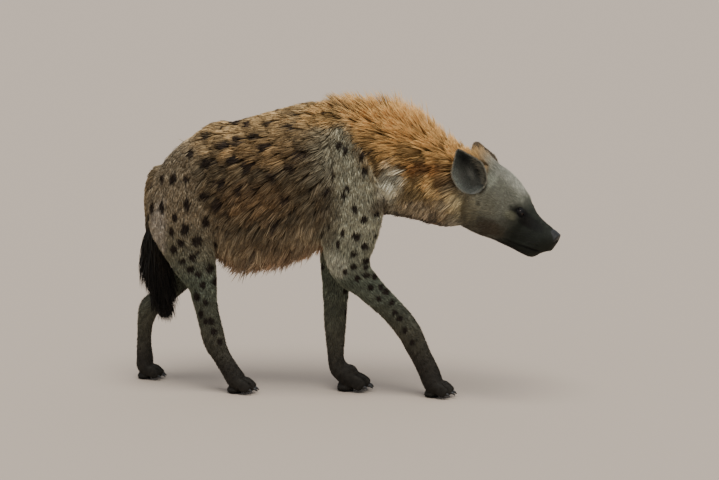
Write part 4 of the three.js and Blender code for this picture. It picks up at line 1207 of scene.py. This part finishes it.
def tufts(name, coat, chosen, rings):
    """One mesh of the chosen tufts: rings of three corners along an arched line from root to tip, and the
    tip."""
    root, tip, out, arch, width, colour, unwrap = (
        coat[key][chosen] for key in ("root", "tip", "out", "arch", "width", "colour", "unwrap")
    )
    number, count = len(root), len(rings) * 3 + 1
    ahead = unit(tip - root)
    broad = unit(np.cross(ahead, out))
    thin = np.cross(ahead, broad)
    points = np.empty((number, count, 3))
    shaded_tones = np.ones((number, count, 4), np.float32)
    patch = np.empty((number, count, 2))
    for k, (share, girth) in enumerate(rings):
        line = root + (tip - root) * share + out * (4 * arch * share * (1 - share))[:, None]
        for c, (x, y) in enumerate(SECTION):
            points[:, 3 * k + c] = line + (broad * x + thin * y) * (width * girth)[:, None]
            patch[:, 3 * k + c] = unwrap + [(c - 1) * BAKE_PATCH / 2, (share - 0.5) * BAKE_PATCH]
        # Each ring carries the tuft's colour with the painted shade at the root and the painted light at the
        # tip
        shaded_tones[:, 3 * k:3 * k + 3, :3] = (colour * np.interp(share, *ROOT_SHADE_TIP_LIGHT))[:, None]
    points[:, -1] = tip
    patch[:, -1] = unwrap + [0, BAKE_PATCH / 2]
    shaded_tones[:, -1, :3] = colour * ROOT_SHADE_TIP_LIGHT[1][-1]
    points[..., 2] = np.maximum(points[..., 2], LOWEST_HAIR)
    faces = [(0, 2, 1)]
    for k in range(len(rings) - 1):
        for c in range(3):
            a, b = 3 * k + c, 3 * k + (c + 1) % 3
            faces += [(a, b, b + 3), (a, b + 3, a + 3)]
    faces += [(count - 4 + c, count - 4 + (c + 1) % 3, count - 1) for c in range(3)]
    corners = (np.array(faces)[None] + count * np.arange(number)[:, None, None]).astype(np.int32)
    mesh = array_mesh(name, in_frame(points.reshape(-1, 3)), corners.reshape(-1, 3))
    mesh.color_attributes.new("Tone", "FLOAT_COLOR", "POINT").data.foreach_set("color", shaded_tones.ravel())
    bake = mesh.uv_layers.new(name="OFBake")
    bake.data.foreach_set("uv", patch.reshape(-1, 2)[corners.ravel()].ravel())
    thing = bpy.data.objects.new(name, mesh)
    bpy.context.collection.objects.link(thing)
    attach(thing, "root")
    return thing


def by_form(share, table):
    """The mean of a table of one number for each form, by the forms' shares."""
    return share @ np.array(table, float)


def coat_lie(points, reading):
    """Which way the hair lies: back and down along the trunk and neck, back over the head, down the tail
    and the legs, each by the form's share."""
    share, rise, place = reading["share"], reading["rise"], reading["place"]
    x = points[:, 0]
    down = np.array([0, 0, -1.0])
    droop = np.radians(np.interp(rise[:, 0], TRUNK_RISE, TRUNK_DROOP))
    droop = np.maximum(droop, math.radians(74) * (1 - eased(x, -350, -200)) * (1 - eased(rise[:, 0], 35, 75)))
    droop = np.maximum(droop, math.radians(66) * eased(x, 60, 130) * (1 - eased(rise[:, 0], 10, 60)))
    lie = share[:, :1] * (np.cos(droop)[:, None] * [-1.0, 0, 0] + np.sin(droop)[:, None] * down)
    droop = np.radians(np.interp(rise[:, 1], NECK_RISE, NECK_DROOP))
    back = -FORMS["neck"].frame(place[:, 1])[0]
    lie = lie + share[:, 1:2] * (np.cos(droop)[:, None] * back + np.sin(droop)[:, None] * down)
    ahead, _, up = reading["head"]
    fall = np.radians(np.interp(up, [-90, -30, 30, 80], [20, 30, 12, 0])) * (1 - eased(ahead, 110, 180))
    lie = lie + share[:, 2:3] * (-np.cos(fall)[:, None] * HEAD_AHEAD - np.sin(fall)[:, None] * HEAD_UP)
    for k, name in enumerate(FORM_NAMES[3:], 3):
        lie = lie + share[:, k:k + 1] * FORMS[name].frame(place[:, k])[0]
    return lie


def body_length(root, reading):
    """The length of the hair at each root, from each form's table by its share."""
    share, rise, place = reading["share"], reading["rise"], reading["place"]
    ahead, _, up = reading["head"]
    x, z = root[:, 0], root[:, 2]
    length = share[:, 0] * np.interp(rise[:, 0], TRUNK_RISE, TRUNK_LENGTH)
    length *= np.interp(x, ALONG_BACK, ALONG_LENGTH)
    length += share[:, 0] * 27 * eased(x, 70, 150) * eased(rise[:, 0], 60, 80)
    nape = 1 - 0.55 * eased(place[:, 1], 2.4, 4.6) * eased(rise[:, 1], 20, 60)
    length += share[:, 1] * np.interp(rise[:, 1], NECK_RISE, NECK_LENGTH) * nape
    crown = 24 * (1 - eased(ahead, -60, -5)) * eased(up, 40, 75)
    length += share[:, 2] * (np.interp(ahead, HEAD_ALONG, HEAD_LENGTH) + crown)
    brush = np.clip(z - BRUSH_SPAN[0], *BRUSH_SPAN[1:])
    length += share[:, 3] * np.where(place[:, 3] < BRUSH_FROM, 22, brush)
    for k, name in enumerate(LEGS, 4):
        elbow, wrist = LEGS[name][1:3]
        stops = [0, elbow, wrist - 2, wrist, wrist + 3]
        length += share[:, k] * np.interp(place[:, k], stops, LEG_LENGTH)
    for cup in ear_cups.values():
        at, u, v = cup.read(root)
        away = (np.hypot(u / EAR_HALF, (at - EAR_WIDEST) / 0.5) - 1) * EAR_HALF
        beside_ear = (ahead > -70) & (np.abs(v) < 50)
        length = np.where(beside_ear, np.minimum(length, np.maximum(7, 1.2 * away)), length)
    return length


def bare_places(root, out, reading):
    """Where no hair grows: the slits of the eyes, the nose, the edge of the lips, the ears' hollows, the
    soles."""
    ahead = reading["head"][0]
    bare = nose_form.read(root)[2] < 1.5
    near_face = np.nonzero(ahead > 90)[0]
    for side in (RIGHT, LEFT):
        _, along, across = eye_axes(side)
        off = root - eye_centre(side)
        bare |= (np.hypot(off @ along / 15.5, off @ across / 8.5) < 1) & (np.linalg.norm(off, axis=1) < 30)
        bare[near_face] |= distance_to(root[near_face], mouth_line(side))[0] < 2.4
    for cup in ear_cups.values():
        at, u, v = cup.read(root)
        inside = (at > 0) & (at < 1)
        bare |= inside & (np.abs(u) < cup.half(np.clip(at, 0, 1))) & (np.abs(v) < 60) & (v > -52)
    return bare | ((out[:, 2] < -0.5) & (root[:, 2] < 14))


def coat_of_body():
    """Every tuft of the body's coat: roots on the skin, and lengths, lifts and wisps by the form and the
    place."""
    source = np.random.default_rng(90125)
    crowd = by_form(body_reading(skin_mm[skin_quads].mean(1))["share"], CROWD)
    root, square = rooted(skin_mm, skin_quads, crowd, source)
    out = unit(skin_normals[skin_quads[square]].mean(1))
    reading = body_reading(root)
    kept = ~bare_places(root, out, reading)
    root, out = root[kept], out[kept]
    reading = body_reading(root)
    share, rise, place = reading["share"], reading["rise"], reading["place"]
    ahead, _, up = reading["head"]
    form = share.argmax(1)
    wisp = wisp_of(root, form)
    wisp_draw = source.normal(0, 1, (wisp.max() + 1, 3))[wisp]
    shaggy = share[:, 0] + share[:, 1]

    length = body_length(root, reading)
    lift = share[:, 0] * np.interp(rise[:, 0], TRUNK_RISE, TRUNK_LIFT)
    lift += share[:, 0] * 16 * eased(root[:, 0], 70, 160) * eased(rise[:, 0], 55, 80)
    nape = 1 - 0.25 * eased(place[:, 1], 2.6, 4.6)
    lift += share[:, 1] * np.interp(rise[:, 1], NECK_RISE, NECK_LIFT) * nape
    lift += share[:, 2] * (14 + 22 * (1 - eased(ahead, -60, -5)) * eased(up, 40, 75))
    lift += share[:, 3] * 11 + share[:, 4:].sum(1) * 15
    lift = lift + 3.5 * wisp_draw[:, 0] * shaggy
    lie = unit(coat_lie(root, reading))
    lie = unit(lie - out * np.sum(lie * out, 1)[:, None])
    sway = np.radians(source.normal(0, 8, len(root)) + 7 * wisp_draw[:, 1] * shaggy)
    sway = sway + 0.16 * ripple(root, 70, 71)
    lie = lie * np.cos(sway)[:, None] + np.cross(out, lie) * np.sin(sway)[:, None]
    lift = np.radians(np.maximum(lift * source.uniform(0.65, 1.35, len(root)), 3))
    length = length * source.uniform(0.72, 1.2, len(root)) * (1 + 0.12 * ripple(root, 45, 72))
    length = length * (1 + 0.1 * np.clip(wisp_draw[:, 2], -1.5, 1.5) * shaggy)
    hanging = share[:, 0] * (1 - eased(rise[:, 0], -60, -35)) * eased(root[:, 0], -300, -230)
    length = length * (1 + FRINGE_GAIN * hanging * (source.uniform(size=len(root)) < FRINGE_SHARE))
    tip = root + length[:, None] * (lie * np.cos(lift)[:, None] + out * np.sin(lift)[:, None])
    tip = drawn_together(tip, wisp, by_form(share, WISP_PULL) * source.uniform(0.4, 1.2, len(root)))
    kept_share = np.clip((CREST_TOP - root[:, 2]) / np.maximum(tip[:, 2] - root[:, 2], 1), 0, 1)
    tip = root + (tip - root) * kept_share[:, None]
    colour = coat_tone(root + (tip - root) * TONE_AT, reading)
    uneven = WISP_UNEVEN[0] * share[:, 0] + WISP_UNEVEN[1] * share[:, 1]
    streak = np.exp(source.normal(0, 1, wisp.max() + 1)[wisp] * uneven)
    colour = colour * (streak * np.exp(source.normal(0, TUFT_UNEVEN, len(root))))[:, None]
    row = np.arange(len(root))
    form_place = place[row, form] / np.array([each.last for each in FORMS.values()])[form]
    form_angle = reading["angle"][row, form] / (2 * math.pi) + 0.5
    column = (form % 4 + 0.04 + 0.92 * form_place) / 5
    level = (form // 4 + 0.04 + 0.92 * form_angle) / 2
    leg_place = np.where(form > 3, place[row, form], 0)
    return {
        "root": root - out * ROOT_SINK, "tip": tip, "out": out, "arch": length * 0.07,
        "width": by_form(share, TUFT_WIDTH) * source.uniform(0.75, 1.3, len(root)),
        "colour": colour * np.minimum(1, PALEST / colour.max(1))[:, None],
        "unwrap": np.stack([column, level], -1), "form": form, "leg_place": leg_place,
    }


coat = coat_of_body()
form, at_x, at_y = coat["form"], coat["root"][:, 0], coat["root"][:, 1]
FLANK_MIDDLE = -95.0
PIECES = {}
for hand, here in (("right", at_y <= 0), ("left", at_y > 0)):
    PIECES[f"coat_rump_{hand}"] = (here & (form == 0) & (at_x < FLANK_MIDDLE), LONG_HAIR, "coat")
    PIECES[f"coat_flank_{hand}"] = (here & (form == 0) & (at_x >= FLANK_MIDDLE), LONG_HAIR, "coat")
    PIECES[f"coat_mane_{hand}"] = (here & (form == 1), LONG_HAIR, "mane")
PIECES["coat_face"] = (form == 2, STUBBLE, "face")
PIECES["coat_tail"] = (form == 3, LONG_HAIR, "brush")
for k, (name, (_, elbow, _, _)) in enumerate(LEGS.items(), 4):
    PIECES[f"coat_{name}"] = ((form == k) & (coat["leg_place"] < elbow + 1.5), SHORT_HAIR, "coat")
    PIECES[f"coat_{name}_shank"] = ((form == k) & (coat["leg_place"] >= elbow + 1.5), STUBBLE, "foot")
coat_things = []
for name, (chosen, rings, slot) in PIECES.items():
    coat_things.append(tufts(name, coat, np.nonzero(chosen)[0], rings))

# Hair of the ears: short on the back, a pale fringe round the rim, thin inside with a long pale brush in
# front.
EAR_BACK_TONE = tone("5d5040")
EAR_RIM_TONE = tone("746f60")
EAR_INNER_TONE = tone("545750")
EAR_CELL = {RIGHT: 0.02, LEFT: 0.36}  # where each ear's part of the unwrap starts
# Of each kind: how many tufts, their length, their lift in degrees and their colour
EAR_HAIR = {
    "back": (5200, 7.0, 16, EAR_BACK_TONE),
    "rim": (1500, 7.0, 26, EAR_RIM_TONE),
    "inner": (3400, 6.0, 16, EAR_INNER_TONE),
    "brush": (360, 15.0, 14, EAR_RIM_TONE),
}


def ear_hair(cup, source):
    """Tufts of one ear, from random places on its walls: each lies towards the tip, and those of the brush
    lie up and back across the hollow from its front edge."""
    parts = []
    for kind, (number, length, lift, ground) in EAR_HAIR.items():
        share = source.uniform(0.03, 0.985, number)
        turn = source.uniform(0.03, math.pi - 0.03, number)
        if kind == "rim":
            edge = source.uniform(0.01, 0.12, number)
            turn = np.where(source.uniform(size=number) < 0.5, edge, math.pi - edge)
        if kind == "brush":
            share = source.uniform(0.08, 0.7, number)
            forward = 0.05 + 0.75 * source.uniform(size=number) ** 2
            turn = forward if cup.front > 0 else math.pi - forward
        inside = kind in ("inner", "brush")
        root = cup.surface(share, turn, inside)
        along = cup.surface(share + 0.01, turn, inside) - root
        round_it = cup.surface(share, turn + 0.01, inside) - root
        out = unit(np.cross(along, round_it))
        out *= np.sign(np.sum(out * cup.facing, 1))[:, None] * (1 if inside else -1)
        lie = unit(along)
        if kind == "rim":
            out = unit(cup.facing + 0.4 * unit(round_it) * np.where(turn < 1, -1, 1)[:, None])
        if kind == "brush":
            lie = unit(lie + 0.9 * unit(-cup.across * cup.front))
        sway = source.normal(0, 0.32, number)[:, None]
        lie = lie * np.cos(sway) + np.cross(out, lie) * np.sin(sway)
        reach = length * source.uniform(0.6, 1.3, number)
        rise = np.radians(lift * source.uniform(0.6, 1.4, number))[:, None]
        forward = np.cos(turn) * cup.half(share) / EAR_HALF * cup.front
        # The inner hair carries the ear's painted shade and painted highlight
        painted_light = ear_painted_light_and_shade(share, forward) if kind == "inner" else np.ones(number)
        parts.append({
            "root": root - out * 0.5,
            "tip": root + reach[:, None] * (lie * np.cos(rise) + out * np.sin(rise)),
            "out": out,
            "arch": reach * 0.06,
            "width": np.full(number, 1.5),
            "colour": ground * (painted_light * np.exp(source.normal(0, 0.3, number)))[:, None],
            "unwrap": np.stack([0.82 + 0.16 * share, EAR_CELL[cup.side] + 0.1 * turn], -1),
        })
    return {key: np.concatenate([part[key] for part in parts]) for key in parts[0]}


for hand, cup in ear_cups.items():
    hair = ear_hair(cup, np.random.default_rng(515))
    coat_things.append(tufts(f"coat_ear_{hand}", hair, np.arange(len(hair["root"])), STUBBLE))

# Whiskers: stiff black hairs in rows on the swollen upper lip, sweeping back and out, and two over each
# eye.
WHISKERS = [(200 - 11 * row, 4 * row - 22 + 8 * rank) for row in range(4) for rank in range(3)]
WHISKERS += [(92, 58), (84, 60)]
WHISKER_TONE = 0.012
whisker_source = np.random.default_rng(88)
whisker_root, whisker_tip, whisker_out = [], [], []
for side in (RIGHT, LEFT):
    for along_muzzle, height in WHISKERS:
        seat = in_head(along_muzzle, side * 90, height)
        inward = -side * HEAD_SIDE
        hit = skin_tree.ray_cast(Vector(in_frame(seat)), Vector(inward), 0.12)[0]
        if hit is None:
            continue
        root = in_mm(hit)
        sweep = unit(side * HEAD_SIDE - 1.1 * HEAD_AHEAD - 0.35 * HEAD_UP + whisker_source.normal(0, 0.12, 3))
        whisker_root.append(root)
        whisker_tip.append(root + sweep * whisker_source.uniform(34, 58))
        whisker_out.append(unit(side * HEAD_SIDE + 0.2 * HEAD_UP))
whisker_number = len(whisker_root)
whiskers = {
    "root": np.array(whisker_root), "tip": np.array(whisker_tip), "out": np.array(whisker_out),
    "arch": np.full(whisker_number, 5.0), "width": np.full(whisker_number, 0.8),
    "colour": np.full((whisker_number, 3), WHISKER_TONE),
    "unwrap": np.stack([np.linspace(0.82, 0.98, whisker_number), np.full(whisker_number, 0.8)], -1),
}
coat_things.append(tufts("whiskers", whiskers, np.arange(whisker_number), LONG_HAIR))

# Materials. Each reads the colours painted on its mesh and adds its own fine variation.


def spread(nodes, links, noise, low, high):
    """The noise drawn out to run from low to high."""
    ranged = nodes.new("ShaderNodeMapRange")
    ranged.inputs["To Min"].default_value = low
    ranged.inputs["To Max"].default_value = high
    links.new(noise.outputs["Fac"], ranged.inputs["Value"])
    return ranged.outputs["Result"]


def painted_material(name, roughness, sheen=0.0, bump=0.0, grain=900.0, coat_weight=0.0, gloss=0.5):
    """A surface in the mesh's painted tones, varied by noise in the object's own coordinates."""
    material = bpy.data.materials.new(name)
    material.use_nodes = True
    nodes, links = material.node_tree.nodes, material.node_tree.links
    surface = nodes["Principled BSDF"]
    painted_tone = nodes.new("ShaderNodeAttribute")
    painted_tone.attribute_name = "Tone"
    place = nodes.new("ShaderNodeTexCoord")
    noise = nodes.new("ShaderNodeTexNoise")
    noise.inputs["Scale"].default_value = grain
    noise.inputs["Detail"].default_value = 4
    links.new(place.outputs["Object"], noise.inputs["Vector"])
    varied = nodes.new("ShaderNodeVectorMath")
    varied.operation = "SCALE"
    links.new(painted_tone.outputs["Color"], varied.inputs[0])
    links.new(spread(nodes, links, noise, 0.72, 1.28), varied.inputs["Scale"])
    links.new(varied.outputs["Vector"], surface.inputs["Base Color"])
    rough = spread(nodes, links, noise, max(0.0, roughness - 0.1), min(1.0, roughness + 0.1))
    links.new(rough, surface.inputs["Roughness"])
    surface.inputs["Sheen Weight"].default_value = sheen
    surface.inputs["Sheen Roughness"].default_value = 0.4
    surface.inputs["Coat Weight"].default_value = coat_weight
    surface.inputs["Specular IOR Level"].default_value = gloss
    if bump:
        relief = nodes.new("ShaderNodeBump")
        relief.inputs["Strength"].default_value = bump
        relief.inputs["Distance"].default_value = 0.0008
        links.new(noise.outputs["Fac"], relief.inputs["Height"])
        links.new(relief.outputs["Normal"], surface.inputs["Normal"])
    return material


hair_material = painted_material("hair", 0.6, sheen=0.02, grain=420, gloss=0.16)
skin_material = painted_material("skin", 0.75, bump=0.5, gloss=0.2)
horn_material = painted_material("horn", 0.4, bump=0.2, grain=500)
leather_material = painted_material("leather", 0.5, bump=0.8, grain=1400, coat_weight=0.08, gloss=0.35)
lid_material = painted_material("lid", 0.7, bump=0.4, grain=1400, gloss=0.15)
eye_material = painted_material("eye", 0.22, grain=2200, gloss=0.35)
skin.data.materials.append(skin_material)
for thing in coat_things:
    thing.data.materials.append(hair_material)
for thing in eyes.values():
    thing.data.materials.append(eye_material)
for thing in lids.values():
    painted(thing, np.full((len(thing.data.vertices), 3), 0.006))
    thing.data.materials.append(lid_material)
painted(nose_pad, np.full((len(nose_pad.data.vertices), 3), 0.01))
nose_pad.data.materials.append(leather_material)
painted(claws, np.full((len(claws.data.vertices), 3), 0.03))
claws.data.materials.append(horn_material)
for thing in ears.values():
    thing.data.materials.append(skin_material)

# The floor and the light: a wide pale floor under a bright even sky, with one soft lamp above and in front.
FLOOR_HALF = 60.0
FLOOR_COLOUR = (0.5, 0.42, 0.34, 1)
SKY_COLOUR = (0.92, 0.94, 1, 1)
SKY_STRENGTH = 0.6
LAMP_FROM = (0.15, -0.5, 1.6)
LAMP_STRENGTH = 2.9
LAMP_SPREAD = math.radians(38)
LAMP_COLOUR = (1, 0.97, 0.92)
floor_corners = [(x * FLOOR_HALF, y * FLOOR_HALF, 0) for x, y in ((-1, -1), (1, -1), (1, 1), (-1, 1))]
floor = mesh_object("floor", floor_corners, [[0, 1, 2, 3]])
floor_material = bpy.data.materials.new("floor")
floor_material.use_nodes = True
floor_surface = floor_material.node_tree.nodes["Principled BSDF"]
floor_surface.inputs["Base Color"].default_value = FLOOR_COLOUR
floor_surface.inputs["Roughness"].default_value = 0.9
floor.data.materials.append(floor_material)
world = bpy.data.worlds.new("sky")
world.use_nodes = True
background = world.node_tree.nodes["Background"]
background.inputs["Color"].default_value = SKY_COLOUR
background.inputs["Strength"].default_value = SKY_STRENGTH
bpy.context.scene.world = world
lamp_data = bpy.data.lights.new("lamp", "SUN")
lamp_data.energy = LAMP_STRENGTH
lamp_data.angle = LAMP_SPREAD
lamp_data.color = LAMP_COLOUR
lamp = bpy.data.objects.new("lamp", lamp_data)
lamp.rotation_euler = Vector(LAMP_FROM).to_track_quat("Z", "Y").to_euler()
bpy.context.collection.objects.link(lamp)
